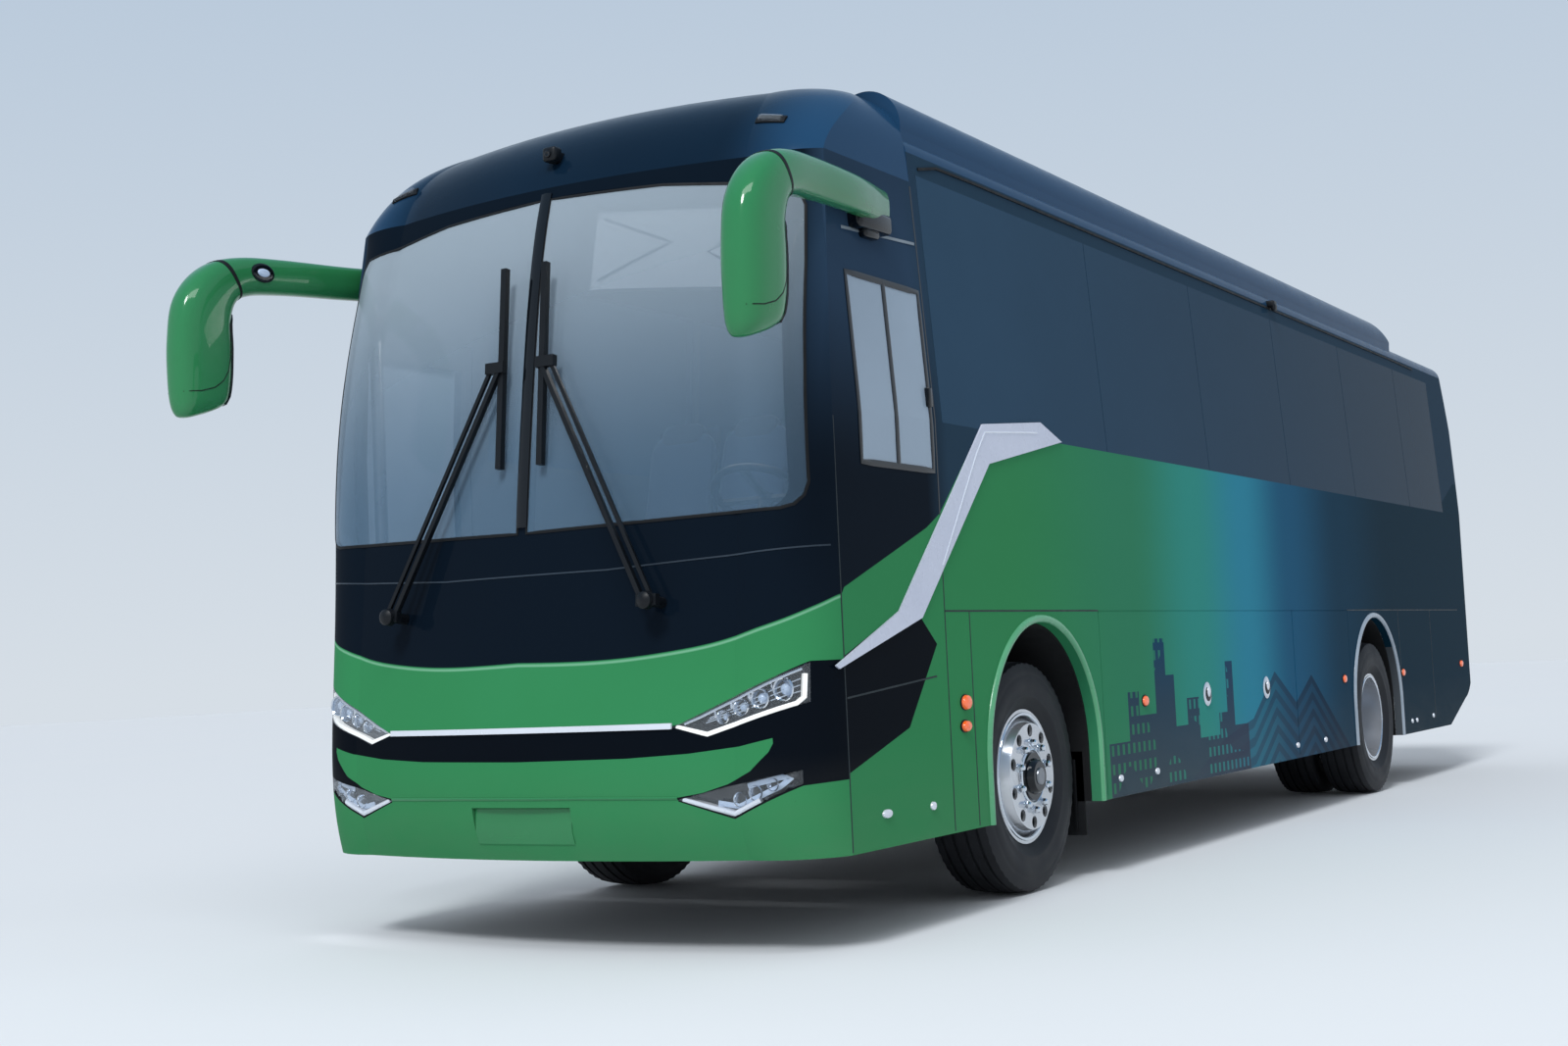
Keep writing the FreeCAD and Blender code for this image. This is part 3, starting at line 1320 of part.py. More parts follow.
liners = [liner("front_liner", front_axle_y), liner("rear_liner", rear_axle_y)]
keep("arch_liners", group("liner_set", liners + [mirror(f"{item.Name}_right", item) for item in liners]))
battery_half = rail_in - d.seat_gap
keep("battery_block", box("battery", (-battery_half, battery_half),
                          (aft(d.battery_start_setback), aft(d.battery_end_setback)),
                          (d.battery_foot, d.battery_head)))

# Cabin: seats, dashboard and steering wheel


def seat_outline(front, floor):
    """A seat from the side: cushion, reclined back and one pedestal."""
    top = floor + d.seat_height
    under = top - d.seat_cushion
    rear = front + d.seat_depth
    back_top = floor + d.seat_back_height
    thick = d.seat_cushion * 0.7
    leg = front + d.seat_depth * 0.45
    return [(front, under), (front, top), (rear, top - thick * 0.3), (rear + d.seat_back_lean, back_top),
            (rear + d.seat_back_lean + thick, back_top), (rear + thick, under),
            (leg + d.seat_cushion, under), (leg + d.seat_cushion, floor), (leg, floor), (leg, under)]


seat_floor = d.floor_height + d.seat_gap
first_pair = prism("seat_pair", "YZ", [seat_outline(station(d.seat_first_station), seat_floor)],
                   d.seat_inner, d.seat_outer)
left_seats = []
seat_pitch = (d.length - d.seat_first_station - d.seat_end_setback) / SIZES["seat_rows"]
for row_number in range(SIZES["seat_rows"]):
    seat_row = copy_of(f"seat_row_{row_number + 1}", first_pair)
    bind(seat_row, "Placement.Base.y", seat_pitch * row_number)
    left_seats.append(seat_row)
right_seats = [mirror(f"{item.Name}_right", item) for item in left_seats]
keep("passenger_seats", group("seats", left_seats + right_seats))
driver_half_seat = d.driver_seat_width / 2
keep("driver_seat", prism("driver_chair", "YZ", [seat_outline(station(d.driver_seat_station),
                                                              d.cab_floor_height + d.seat_gap)],
                          d.driver_half - driver_half_seat, d.driver_half + driver_half_seat))
dash_front = station(0)
dash_foot = d.cab_floor_height + d.seat_gap
dash_leg = station(d.dash_leg_station)
dash_edge = station(d.dash_depth)
dash_outline = [(dash_front, dash_foot), (dash_leg, dash_foot),
                (dash_leg, (d.cab_floor_height + d.dash_lip_height) / 2),
                (dash_edge, d.dash_lip_height), (dash_edge - bar / 2, d.dash_top_height - bar / 2),
                (dash_leg, d.dash_top_height), (dash_front, d.dash_top_height - bar)]
dash_driver = prism("dash_driver", "YZ", [dash_outline], d.aisle_edge, half_width)
dash_side = box("dash_side", (-half_width, d.aisle_edge), (dash_front, station(d.dash_side_station)),
                (d.cab_floor_height, d.dash_top_height - bar))
dash_room = nose_form("dash_room", d.wall + d.seat_gap, spare)
keep("dashboard", overlap("dash", join("dash_blank", [dash_driver, dash_side]), dash_room))
ring = doc.addObject("Part::Torus", "steering_ring")
bind(ring, "Radius1", d.wheel_ring_radius)
bind(ring, "Radius2", d.wheel_tube_radius)
spoke = box("spoke", (-d.wheel_ring_radius, d.wheel_ring_radius), (-d.column_radius / 2, d.column_radius / 2),
            (-d.wheel_tube_radius / 2, d.wheel_tube_radius / 2))
spoke_low = box("spoke_low", (-d.column_radius / 2, d.column_radius / 2), (-d.wheel_ring_radius, 0),
                (-d.wheel_tube_radius / 2, d.wheel_tube_radius / 2))
column = rod("column", "z", -d.column_length, d.wheel_tube_radius, (0, 0), d.column_radius)
steering = join("steering", [ring, spoke, spoke_low, column])
steering.Placement = FreeCAD.Placement(FreeCAD.Vector(), FreeCAD.Rotation(FreeCAD.Vector(-1, 0, 0), 1))
bind(steering, "Placement.Rotation.Angle", d.wheel_tilt)
bind(steering, "Placement.Base.x", d.driver_half)
bind(steering, "Placement.Base.y", station(d.wheel_station))
bind(steering, "Placement.Base.z", d.wheel_height)
keep("steering_wheel", cut("steering_seated", steering, [nodes["dashboard"]]))


# Mirrors: one lofted housing, from the arm's root past the bend to the hanging head

def mirror_housing(name):
    ovals = []
    for number, (out, along, up, tall, thick, tilt) in enumerate(MIRROR_SHARES, start=1):
        oval = doc.addObject("Part::Ellipse", f"{name}_oval_{number}")
        turn = FreeCAD.Rotation(FreeCAD.Vector(1, 0, 0), 90 + tilt)
        upright = FreeCAD.Rotation(FreeCAD.Vector(0, 0, 1), 90)
        oval.Placement = FreeCAD.Placement(FreeCAD.Vector(), turn.multiply(upright))
        bind(oval, "Placement.Base.x", d.mirror_bend_half * out)
        bind(oval, "Placement.Base.y", station(d.mirror_root_station)
             - (d.mirror_root_station + d.mirror_reach) * along)
        bind(oval, "Placement.Base.z", d.mirror_head_height
             + (under(d.mirror_root_drop) - d.mirror_head_height) * up)
        bind(oval, "MajorRadius", d.mirror_depth * tall)
        bind(oval, "MinorRadius", d.mirror_thick * thick)
        ovals.append(oval)
    form = doc.addObject("Part::Loft", name)
    form.Sections = ovals
    form.Solid = True
    return form


mirror_room = box("mirror_room", (0, half_width * 2), (station(-d.mirror_reach), cab_end),
                  (0, d.overall_height))
mirror_arm = overlap("mirror_arm", mirror_housing("mirror_loft"), mirror_room)
mirror_seated = cut("mirror_seated", mirror_arm, [main_outer, nose_outer])
keep("mirrors", group("mirror_pair", [mirror_seated, mirror("mirror_arm_right", mirror_seated)]))


# Bright bar across the mask, above the bumper

front_seat = nose_form("front_seat", Size.of(0) - d.seat_gap, Size.of(0))
bar_room = box("bar_room", (-d.chrome_half, d.chrome_half), (nose - spare, nose + d.nose_shoulder_depth),
               (d.chrome_height - d.chrome_tall / 2, d.chrome_height + d.chrome_tall / 2))
bar_form = nose_form("bar_form", Size.of(0) - d.chrome_proud, Size.of(0))
keep("chrome_bar", cut("bright_bar", overlap("bright_blank", bar_form, bar_room), [front_seat]))


# Wipers: a spindle, two parallel arms and a blade beside the middle bar

def upright_bar(name, foot, head, half, height, low, high):
    """A flat bar from the foot's place across to the head's, seen from the front."""
    outline = [(foot - half, 0), (foot + half, 0), (head + half, height), (head - half, height)]
    return prism(name, "XZ", [outline], low, high)


def wiper(name):
    """Drawn upright with its foot at the origin's level, then leaned back with the glass."""
    tube = d.wiper_tube
    foot = d.wiper_base_half
    head = d.wiper_hub_half
    bars = [rod(f"{name}_spindle", "y", -tube, d.wiper_spindle, (foot + d.wiper_arm_gap / 2, 0), tube * 2),
            upright_bar(f"{name}_outer", foot + d.wiper_arm_gap, head + d.wiper_arm_gap, tube * 0.8,
                        d.wiper_rise, -tube * 0.6, tube * 0.6),
            upright_bar(f"{name}_inner", foot, head, tube, d.wiper_rise, -tube, tube),
            box(f"{name}_foot", (foot - tube * 2, foot + d.wiper_arm_gap + tube * 2),
                (-tube * 1.3, tube * 1.3), (-tube * 2, tube * 2)),
            box(f"{name}_head", (head - tube * 2, head + d.wiper_arm_gap + tube * 2),
                (-tube * 1.3, tube * 1.3), (d.wiper_rise - tube * 2, d.wiper_rise + tube * 2)),
            box(f"{name}_blade", (head - tube * 1.2, head + tube * 1.2), (0, tube * 2.4),
                (d.wiper_rise - d.wiper_blade / 2, d.wiper_rise + d.wiper_blade / 2))]
    whole = join(name, bars)
    whole.Placement = FreeCAD.Placement(FreeCAD.Vector(), FreeCAD.Rotation(FreeCAD.Vector(-1, 0, 0), 1))
    bind(whole, "Placement.Rotation.Angle", d.wiper_rake)
    bind(whole, "Placement.Base.y", station(d.wiper_base_station))
    bind(whole, "Placement.Base.z", d.wiper_base_height)
    return whole


left_wiper = cut("wiper_seated", wiper("wiper_left_arm"), [front_seat])
keep("wipers", group("wiper_pair", [left_wiper, mirror("wiper_right_arm", left_wiper)]))

# Every piece is checked, then written under its own name

doc.recompute()
faulty = [item.Name for item in doc.Objects if "Invalid" in item.State or "Error" in item.State]
if faulty:
    raise RuntimeError(f"failed objects: {faulty}")
for name, item in nodes.items():
    if item.Shape.isNull() or not item.Shape.isValid() or not item.Shape.Solids:
        raise RuntimeError(f"{name} has no valid solid")
for name, item in nodes.items():
    item.Shape.exportStep(f"parts/{name}.step")
    print(name, len(item.Shape.Solids), len(item.Shape.Faces), round(item.Shape.Volume))
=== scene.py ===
import math

import bmesh
import bpy
from mathutils import Matrix, Vector
from mathutils.bvhtree import BVHTree


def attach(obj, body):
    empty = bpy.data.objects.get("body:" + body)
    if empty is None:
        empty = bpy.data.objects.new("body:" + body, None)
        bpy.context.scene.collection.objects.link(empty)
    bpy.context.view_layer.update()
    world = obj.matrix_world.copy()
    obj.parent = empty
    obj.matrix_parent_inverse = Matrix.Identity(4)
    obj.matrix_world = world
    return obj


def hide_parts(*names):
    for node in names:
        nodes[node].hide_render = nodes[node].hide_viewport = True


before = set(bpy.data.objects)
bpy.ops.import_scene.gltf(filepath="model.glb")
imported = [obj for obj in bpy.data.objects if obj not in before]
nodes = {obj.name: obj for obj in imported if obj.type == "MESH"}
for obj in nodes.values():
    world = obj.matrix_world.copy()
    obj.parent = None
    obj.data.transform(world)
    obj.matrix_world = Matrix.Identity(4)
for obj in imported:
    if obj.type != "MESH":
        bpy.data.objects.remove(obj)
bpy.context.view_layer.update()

# Places on the coach, in metres: +X is the driver's side, and the nose looks to -Y

SIDES = ("left", "right")
SIDE_X = 1.25
NOSE_Y = -5.275
NOSE_SEAM = -4.88
CAB_SEAM = -4.02
HINGE_Z = 1.264
SKIRT_Z = 0.361
TAIL_Y = 5.715
FLAP_EDGES = (-2.37, 0.766, 2.02)
GLASS_JOINTS = (-2.13, -0.61, 0.911, 2.431, 3.952)
AXLES = (-3.05, 2.69)
AXLE_Z = 0.522


def rgb(red, green, blue):
    """A display colour, 0 to 255, as linear light."""
    shares = []
    for value in (red, green, blue):
        share = value / 255
        shares.append(share / 12.92 if share <= 0.04045 else ((share + 0.055) / 1.055) ** 2.4)
    return (*shares, 1.0)


def toned(colour, share):
    """A colour made darker or lighter."""
    return tuple(min(1.0, value * share) for value in colour[:3]) + (1.0,)


# Materials

class Graph:
    """The node tree of one material, with short names for what it needs."""

    def __init__(self, name):
        self.material = bpy.data.materials.new(name)
        self.material.use_nodes = True
        self.tree = self.material.node_tree
        self.shader = self.tree.nodes["Principled BSDF"]
        self.place = self.new("ShaderNodeTexCoord").outputs["Object"]

    def new(self, kind, **values):
        node = self.tree.nodes.new(kind)
        for key, value in values.items():
            setattr(node, key, value)
        return node

    def link(self, source, target):
        """Joins a socket to an input, or sets the input to a number or colour."""
        if isinstance(source, (int, float, tuple)):
            target.default_value = source
        else:
            self.tree.links.new(source, target)

    def fill(self, node, **values):
        """Sets a node's inputs by name, with _ for a space."""
        for key, value in values.items():
            self.link(value, node.inputs[key.replace("_", " ")])
        return node

    def set(self, **values):
        self.fill(self.shader, **values)

    def math(self, kind, first, second=0.0):
        node = self.new("ShaderNodeMath", operation=kind)
        self.link(first, node.inputs[0])
        self.link(second, node.inputs[1])
        return node.outputs[0]

    def times(self, first, *others):
        for other in others:
            first = self.math("MULTIPLY", first, other)
        return first

    def over(self, value, limit):
        return self.math("GREATER_THAN", value, limit)

    def under(self, value, limit):
        return self.math("LESS_THAN", value, limit)

    def axes(self, source=None):
        split = self.new("ShaderNodeSeparateXYZ")
        self.link(source or self.place, split.inputs[0])
        return split.outputs

    def span(self, value, low, high, start=0.0, end=1.0, smooth=False):
        node = self.new("ShaderNodeMapRange", interpolation_type="SMOOTHSTEP" if smooth else "LINEAR")
        for source, target in zip((value, low, high, start, end), node.inputs):
            self.link(source, target)
        return node.outputs[0]

    def curve(self, value, top, points, handle="VECTOR"):
        """A height, up to top, read off a line through (place, height) points."""
        node = self.new("ShaderNodeFloatCurve")
        line = node.mapping.curves[0]
        low, high = points[0][0], points[-1][0]
        shares = [((place - low) / (high - low), height / top) for place, height in points]
        while len(line.points) < len(shares):
            line.points.new(0.5, 0.5)
        for point, share in zip(line.points, shares):
            point.location = share
            point.handle_type = handle
        node.mapping.update()
        self.fill(node, Value=self.span(value, low, high))
        return self.times(node.outputs[0], top)

    def strip(self, height, place, low, high):
        """1 where a height lies between two lines."""
        return self.times(self.over(height, self.curve(place, STRIP_TOP, low)),
                          self.under(height, self.curve(place, STRIP_TOP, high)))

    def ramp(self, value, stops, kind="LINEAR"):
        node = self.new("ShaderNodeValToRGB")
        node.color_ramp.interpolation = kind
        elements = node.color_ramp.elements
        while len(elements) < len(stops):
            elements.new(0.5)
        for element, (place, colour) in zip(elements, stops):
            element.position = place
            element.color = colour
        self.link(value, node.inputs[0])
        return node.outputs[0]

    def mix(self, share, first, second):
        node = self.new("ShaderNodeMix", data_type="RGBA")
        return self.fill(node, Factor=share, A=first, B=second).outputs["Result"]

    def noise(self, scale, detail=3.0, stretch=None):
        place = self.place
        if stretch:
            place = self.fill(self.new("ShaderNodeMapping"), Scale=stretch, Vector=place).outputs[0]
        node = self.new("ShaderNodeTexNoise")
        return self.fill(node, Scale=scale, Detail=detail, Vector=place).outputs["Fac"]

    def wave(self, axis, scale, **more):
        node = self.new("ShaderNodeTexWave", bands_direction=axis)
        return self.fill(node, Scale=scale, Vector=self.place, **more).outputs["Fac"]

    def relief(self, height, depth, distance):
        node = self.fill(self.new("ShaderNodeBump"), Strength=depth, Distance=distance, Height=height)
        self.set(Normal=node.outputs[0])

    def done(self, base, gloss=None, grain=None, **values):
        """The finished material: its colour, its drift in gloss as (low, high, scale, detail), its relief as
        (scale, detail, depth, distance), and what else the shader takes."""
        self.set(Base_Color=base, **values)
        if gloss:
            low, high, *drift = gloss
            self.set(Roughness=self.span(self.noise(*drift), 0.3, 0.7, low, high))
        if grain:
            *bumps, depth, distance = grain
            self.relief(self.noise(*bumps), depth, distance)
        return self.material


def plain(name, colour, rough, metal=0.0, coat=0.0, grain=300.0, depth=0.1, vary=0.1, wear=0.08):
    """A moulded or coated surface: fine grain, uneven tone and uneven gloss."""
    g = Graph(name)
    tones = [(0.3, toned(colour, 1 - vary * 2)), (0.7, toned(colour, 1 + vary))]
    return g.done(g.ramp(g.noise(3.0, 5.0), tones), (max(0.02, rough - wear), rough + wear, 18.0, 4.0),
                  (grain, 2.0, depth, 0.0006), Metallic=metal, Coat_Weight=coat, Coat_Roughness=0.04,
                  Specular_IOR_Level=0.5 if metal else 0.25)


GREEN = rgb(50, 128, 80)
# the paler green of the painted sheen on the side's green
SHEEN_GREEN = rgb(66, 150, 110)
# the pale green of the painted highlight under the dark edge on the front
EDGE_HIGHLIGHT_GREEN = rgb(150, 205, 175)
NAVY = rgb(11, 21, 32)
# the paler navy of the painted sky reflection high on the sides
SKY_REFLECTION_NAVY = rgb(46, 68, 92)
SIDE_NAVY = rgb(36, 58, 76)
BLACK = rgb(7, 13, 21)
DUST = rgb(120, 118, 110)
LINING = rgb(74, 80, 86)
# The side's colours from nose to tail
FADE = ((-3.4, GREEN), (-1.9, rgb(49, 124, 92)), (-0.95, rgb(50, 139, 130)), (-0.1, rgb(47, 131, 156)),
        (0.75, rgb(30, 86, 118)), (1.9, rgb(18, 56, 78)), (3.2, rgb(14, 44, 60)))
FADE_SPAN = (-3.6, 3.4)
# Where the dark upper part begins: across the front, then along the side
FRONT_DARK = ((0, 1.126), (0.73, 1.15), (1.0, 1.21), (1.2, 1.29), (1.25, 1.33))
SIDE_DARK = ((-5.1, 1.0), (-4.862, 1.35), (-4.405, 1.51), (-4.15, 1.60), (-4.027, 1.66), (-3.575, 2.06),
             (-2.956, 2.10), (-2.715, 2.047), (4.81, 2.047), (5.5, 2.30))
DARK_TOP = 2.4
EDGE = 0.0015
# The black band across the bumper, the black round the fog lamps, and the wedge that takes them round the corner
BAND_LOW = ((0, 0.745), (0.5, 0.75), (0.75, 0.762), (0.95, 0.783), (1.075, 0.81), (1.085, 0.641), (1.25, 0.641))
BAND_HIGH = ((0, 0.866), (0.69, 0.866), (0.793, 0.89), (1.185, 1.085), (1.25, 1.085))
FOG_LOW = ((0, 0.70), (0.68, 0.70), (0.70, 0.588), (0.912, 0.518), (1.16, 0.632), (1.25, 0.641))
FOG_HIGH = ((0, 0.60), (0.69, 0.60), (0.80, 0.617), (0.90, 0.647), (0.99, 0.692), (1.06, 0.76), (1.09, 0.82),
            (1.25, 0.82))
WEDGE_LOW = ((-4.95, 0.64), (-4.88, 0.66), (-4.377, 0.806), (-4.103, 1.13))
WEDGE_HIGH = ((-4.95, 1.07), (-4.43, 1.26), (-4.235, 1.237), (-4.103, 1.13))
STRIP_TOP = 1.4
# A skyline of plain blocks: where each begins along the side, and its height. Behind it are plain hills
BLOCKS = ((-2.4, 0.0), (-2.32, 0.62), (-2.05, 0.86), (-1.9, 0.74), (-1.66, 1.12), (-1.5, 0.93), (-1.38, 0.66),
          (-1.2, 0.8), (-1.02, 0.58), (-0.7, 0.7), (-0.56, 0.98), (-0.44, 0.62), (-0.2, 0.0))
BLOCK_SPAN = (-2.4, 0.0)
HILLS = ((-1.4, 0.3), (-0.6, 0.56), (-0.1, 0.64), (0.35, 0.9), (0.75, 0.7), (1.1, 0.86), (1.6, 0.55), (2.0, 0.3))
SKYLINE_TOP = 1.2
TOWER = ((0.0, rgb(56, 66, 84)), (0.55, rgb(46, 60, 84)), (1.0, rgb(22, 56, 92)))
HILL = (rgb(44, 74, 98), rgb(14, 36, 58))


def side_fade(g, y):
    """Green at the nose, blue amidships and navy at the tail, with faint paler patches in the green that are a painted
    sheen.
    """
    low, high = FADE_SPAN
    stops = [((place - low) / (high - low), colour) for place, colour in FADE]
    base = g.ramp(g.span(y, low, high), stops, "EASE")
    # paler patches in the green, towards the nose: a painted sheen
    drift = g.times(g.span(g.noise(1.1, 4.0, (1.0, 0.35, 1.0)), 0.35, 0.75, 0.0, 0.12), g.span(y, 1.0, -1.5))
    return g.mix(drift, base, SHEEN_GREEN)


def windows(g, y, z):
    """Rows of small lit windows, some of them dark."""
    bricks = g.new("ShaderNodeTexBrick", offset=0.0)
    flat = g.fill(g.new("ShaderNodeCombineXYZ"), X=y, Y=z)
    white = (1.0, 1.0, 1.0, 1.0)
    g.fill(bricks, Vector=flat.outputs[0], Scale=1.0, Brick_Width=0.07, Row_Height=0.09, Mortar_Size=0.021,
           Color1=white, Color2=white, Mortar=(0.0, 0.0, 0.0, 1.0))
    return g.times(bricks.outputs["Color"], g.over(g.noise(2.3, 0.0), 0.5), 0.75)


def skyline(g, y, z, across, base):
    """The plain hills and blocks low on both sides, over the fade."""
    on_side = g.over(across, SIDE_X - 0.02)
    low, high = BLOCK_SPAN
    shares = [((place - low) / (high - low), (height / SKYLINE_TOP,) * 3 + (1.0,)) for place, height in BLOCKS]
    block_top = g.times(g.ramp(g.span(y, low, high), shares, "CONSTANT"), SKYLINE_TOP)
    blocks = g.times(g.under(z, block_top), on_side)
    tower = g.mix(windows(g, y, z), g.ramp(g.span(z, 0.4, 1.1), TOWER), base)
    hill_top = g.curve(y, SKYLINE_TOP, HILLS)
    bands = g.math("SINE", g.times(g.math("SUBTRACT", hill_top, z), 60.0))
    hills = g.times(g.under(z, hill_top), on_side, g.span(bands, -0.2, 0.2, 0.45, 0.8), g.span(y, -1.4, -0.6))
    base = g.mix(hills, base, g.mix(g.span(y, -0.2, 1.2), *HILL))
    return g.mix(g.times(blocks, 0.92), base, tower)


def black_parts(g, y, z, across, ahead):
    """The share of black: the bumper's band, the fog lamps' surround and the wedge behind the corner."""
    front = g.math("MAXIMUM", g.strip(z, across, BAND_LOW, BAND_HIGH), g.strip(z, across, FOG_LOW, FOG_HIGH))
    wedge = g.times(g.strip(z, y, WEDGE_LOW, WEDGE_HIGH), g.math("SUBTRACT", 1.0, ahead),
                    g.under(y, WEDGE_LOW[-1][0]))
    return g.math("MAXIMUM", g.times(front, ahead), wedge)


def dark_top(g, y, z, across, ahead, base):
    """The dark upper part, paler towards its top on the sides as a painted sky reflection, with a pale line under its
    edge on the front as a painted highlight.
    """
    start = g.math("MAXIMUM", g.curve(across, DARK_TOP, FRONT_DARK, "AUTO"), g.curve(y, DARK_TOP, SIDE_DARK))
    above = g.span(z, g.math("SUBTRACT", start, EDGE), g.math("ADD", start, EDGE))
    # a pale line just under the dark edge on the front: a painted highlight
    drop = g.math("ABSOLUTE", g.math("SUBTRACT", z, g.math("SUBTRACT", start, 0.010)))
    base = g.mix(g.times(g.span(drop, 0.007, 0.002), ahead, 0.45), base, EDGE_HIGHLIGHT_GREEN)
    # on the sides the dark paint pales towards the top: a painted sky reflection
    upper = g.times(g.span(z, 1.75, 2.8, smooth=True), g.span(across, 1.12, 1.22))
    behind_cab = g.span(y, CAB_SEAM - 0.1, CAB_SEAM + 0.1)
    return g.mix(above, base, g.mix(behind_cab, g.mix(upper, NAVY, SKY_REFLECTION_NAVY), SIDE_NAVY))


def livery(name):
    """The painted body: green fading to blue and navy, dark above, with the black bumper band."""
    g = Graph(name)
    x, y, z = g.axes()
    across = g.math("ABSOLUTE", x)
    ahead = g.under(y, NOSE_SEAM)
    base = skyline(g, y, z, across, side_fade(g, y))
    base = dark_top(g, y, z, across, ahead, base)
    base = g.mix(black_parts(g, y, z, across, ahead), base, BLACK)
    # a little road dust along the skirt
    base = g.mix(g.times(g.span(z, 0.75, 0.36, 0.0, 0.16), g.noise(6.0, 5.0, (1.0, 0.6, 2.0))), base, DUST)
    # faces that look into the coach are grey lining
    facing = g.axes(g.new("ShaderNodeTexCoord").outputs["Normal"])
    inward = g.math("MAXIMUM", g.under(g.times(facing[0], x), -0.5), g.under(g.times(facing[1], y), -2.4))
    return g.done(g.mix(inward, base, LINING), (0.26, 0.32, 3.0, 2.0), (30.0, 1.0, 0.01, 0.0003), Coat_Weight=0.08,
                  Coat_Roughness=0.03, Specular_IOR_Level=0.0)


def paint(name, colour, tint, rough, coat, level=0.08, flank=None):
    """A single gloss paint with a faint drift in tone, and another tone towards the sides if given, which is a painted
    reflection.
    """
    g = Graph(name)
    base = g.mix(g.span(g.noise(0.8, 2.0), 0.35, 0.7, 0.0, 0.25), colour, tint)
    # the paler tone towards the sides is a painted reflection
    if flank:
        base = g.mix(g.span(g.math("ABSOLUTE", g.axes()[0]), 0.75, 1.15, smooth=True), base, flank)
    return g.done(base, (rough - 0.04, rough + 0.06, 9.0, 4.0), (260.0, 1.0, 0.03, 0.0004), Coat_Weight=coat,
                  Coat_Roughness=0.03, Specular_IOR_Level=level)


def see_through(g, facing, grazing):
    """How closed glass is: less so head on than at a slant."""
    slant = g.fill(g.new("ShaderNodeLayerWeight"), Blend=0.35)
    return g.span(slant.outputs["Facing"], 0.0, 1.0, facing, grazing)


def glass(name, colour, facing, grazing, rough, level, tail=None):
    """Tinted glass with faint streaks in its gloss, and a darker tint towards the coach's tail if given, a painted
    reflection that leaves the front paler.
    """
    g = Graph(name)
    tint = g.mix(g.span(g.noise(2.0, 3.0), 0.3, 0.7, 0.0, 0.2), colour, toned(colour, 1.25))
    # darker towards the tail: a painted reflection that leaves the front paler
    if tail:
        tint = g.mix(g.span(g.axes()[1], -3.5, 4.5), tint, tail)
    return g.done(tint, (rough, rough * 2, 5.0, 4.0), Alpha=see_through(g, facing, grazing),
                  Specular_IOR_Level=level, IOR=1.5)


def screen(name, low, high, foot, head):
    """Windscreen glass that pales from its foot up to its head, as a painted sky reflection."""
    g = Graph(name)
    # paler towards the head: a painted sky reflection
    height = g.span(g.axes()[2], foot, head, smooth=True)
    alpha = g.math("ADD", see_through(g, 0.3, 0.8), g.times(height, 0.12))
    return g.done(g.mix(height, low, high), (0.02, 0.05, 5.0, 4.0), Specular_IOR_Level=0.3, Alpha=alpha)


def fabric(name, colour, light):
    """Woven seat cloth: crossing threads, soft sheen and slubs in two tones."""
    g = Graph(name)
    weaves = [g.wave(axis, 90.0, Distortion=1.2) for axis in "XYZ"]
    thread = g.math("MAXIMUM", g.math("MAXIMUM", weaves[0], weaves[1]), weaves[2])
    tone = g.mix(g.span(thread, 0.3, 1.0, 0.0, 0.55), colour, light)
    fleck = g.times(g.over(g.noise(60.0, 2.0), 0.62), 0.4)
    g.relief(thread, 0.5, 0.0015)
    return g.done(g.mix(fleck, tone, light), Roughness=0.9, Sheen_Weight=0.35, Sheen_Roughness=0.5)


def rubber(name):
    """Tyre rubber, worn paler and duller in patches."""
    g = Graph(name)
    worn = g.noise(7.0, 6.0)
    base = g.ramp(worn, [(0.3, rgb(17, 19, 24)), (0.75, rgb(34, 36, 41))])
    return g.done(base, grain=(190.0, 3.0, 0.35, 0.0012), Specular_IOR_Level=0.35,
                  Roughness=g.span(worn, 0.3, 0.7, 0.55, 0.75))


def trims(name):
    """Silver ribbons above, and below them the arch mouldings, their body colours paled as a painted highlight: pale
    green in front, pale silver behind.
    """
    g = Graph(name)
    _, y, z = g.axes()
    front, rear, ribbon_tone = (g.mix(g.noise(scale), rgb(*first), rgb(*second)) for scale, first, second in (
        (4.0, (70, 146, 102), (98, 168, 128)), (4.0, (120, 136, 152), (168, 180, 192)),
        (2.0, (180, 188, 210), (208, 214, 230))))
    # the arch lips: body colours paled as a painted highlight
    arches = g.times(g.under(z, HINGE_Z - 0.004), g.over(y, -3.75))
    base = g.mix(arches, ribbon_tone, g.mix(g.span(y, -1.0, 0.0), front, rear))
    return g.done(base, (0.24, 0.34, 12.0, 4.0), (30.0, 1.0, 0.02, 0.0003), Coat_Weight=0.3, Coat_Roughness=0.05,
                  Specular_IOR_Level=0.3)


def glow(name, colour, strength, rough=0.15):
    """A lit or strongly reflecting fluted lens: its own colour with a little light of its own, which where the lens
    only reflects is a painted glint.
    """
    g = Graph(name)
    base = g.mix(g.span(g.noise(40.0, 2.0), 0.4, 0.6, 0.0, 0.06), colour, (0.9, 0.9, 0.9, 1.0))
    g.relief(g.wave("Y", 60.0), 0.4, 0.001)
    return g.done(base, Emission_Color=colour, Emission_Strength=strength, Roughness=rough, Coat_Weight=0.5)


body_paint = livery("livery_paint")
# the roof's navy, paler towards its sides as a painted sky reflection
roof_paint = paint("roof_navy", rgb(11, 29, 46), rgb(18, 42, 64), 0.2, 0.16, 0.02, rgb(30, 64, 96))
mirror_paint = paint("mirror_green", rgb(40, 116, 70), rgb(58, 146, 96), 0.22, 0.6)
# the side glass, darker towards the tail: a painted reflection that leaves the front paler
side_glass = glass("dark_side_glass", rgb(46, 71, 93), 0.98, 1.0, 0.05, 0.01, rgb(26, 48, 66))
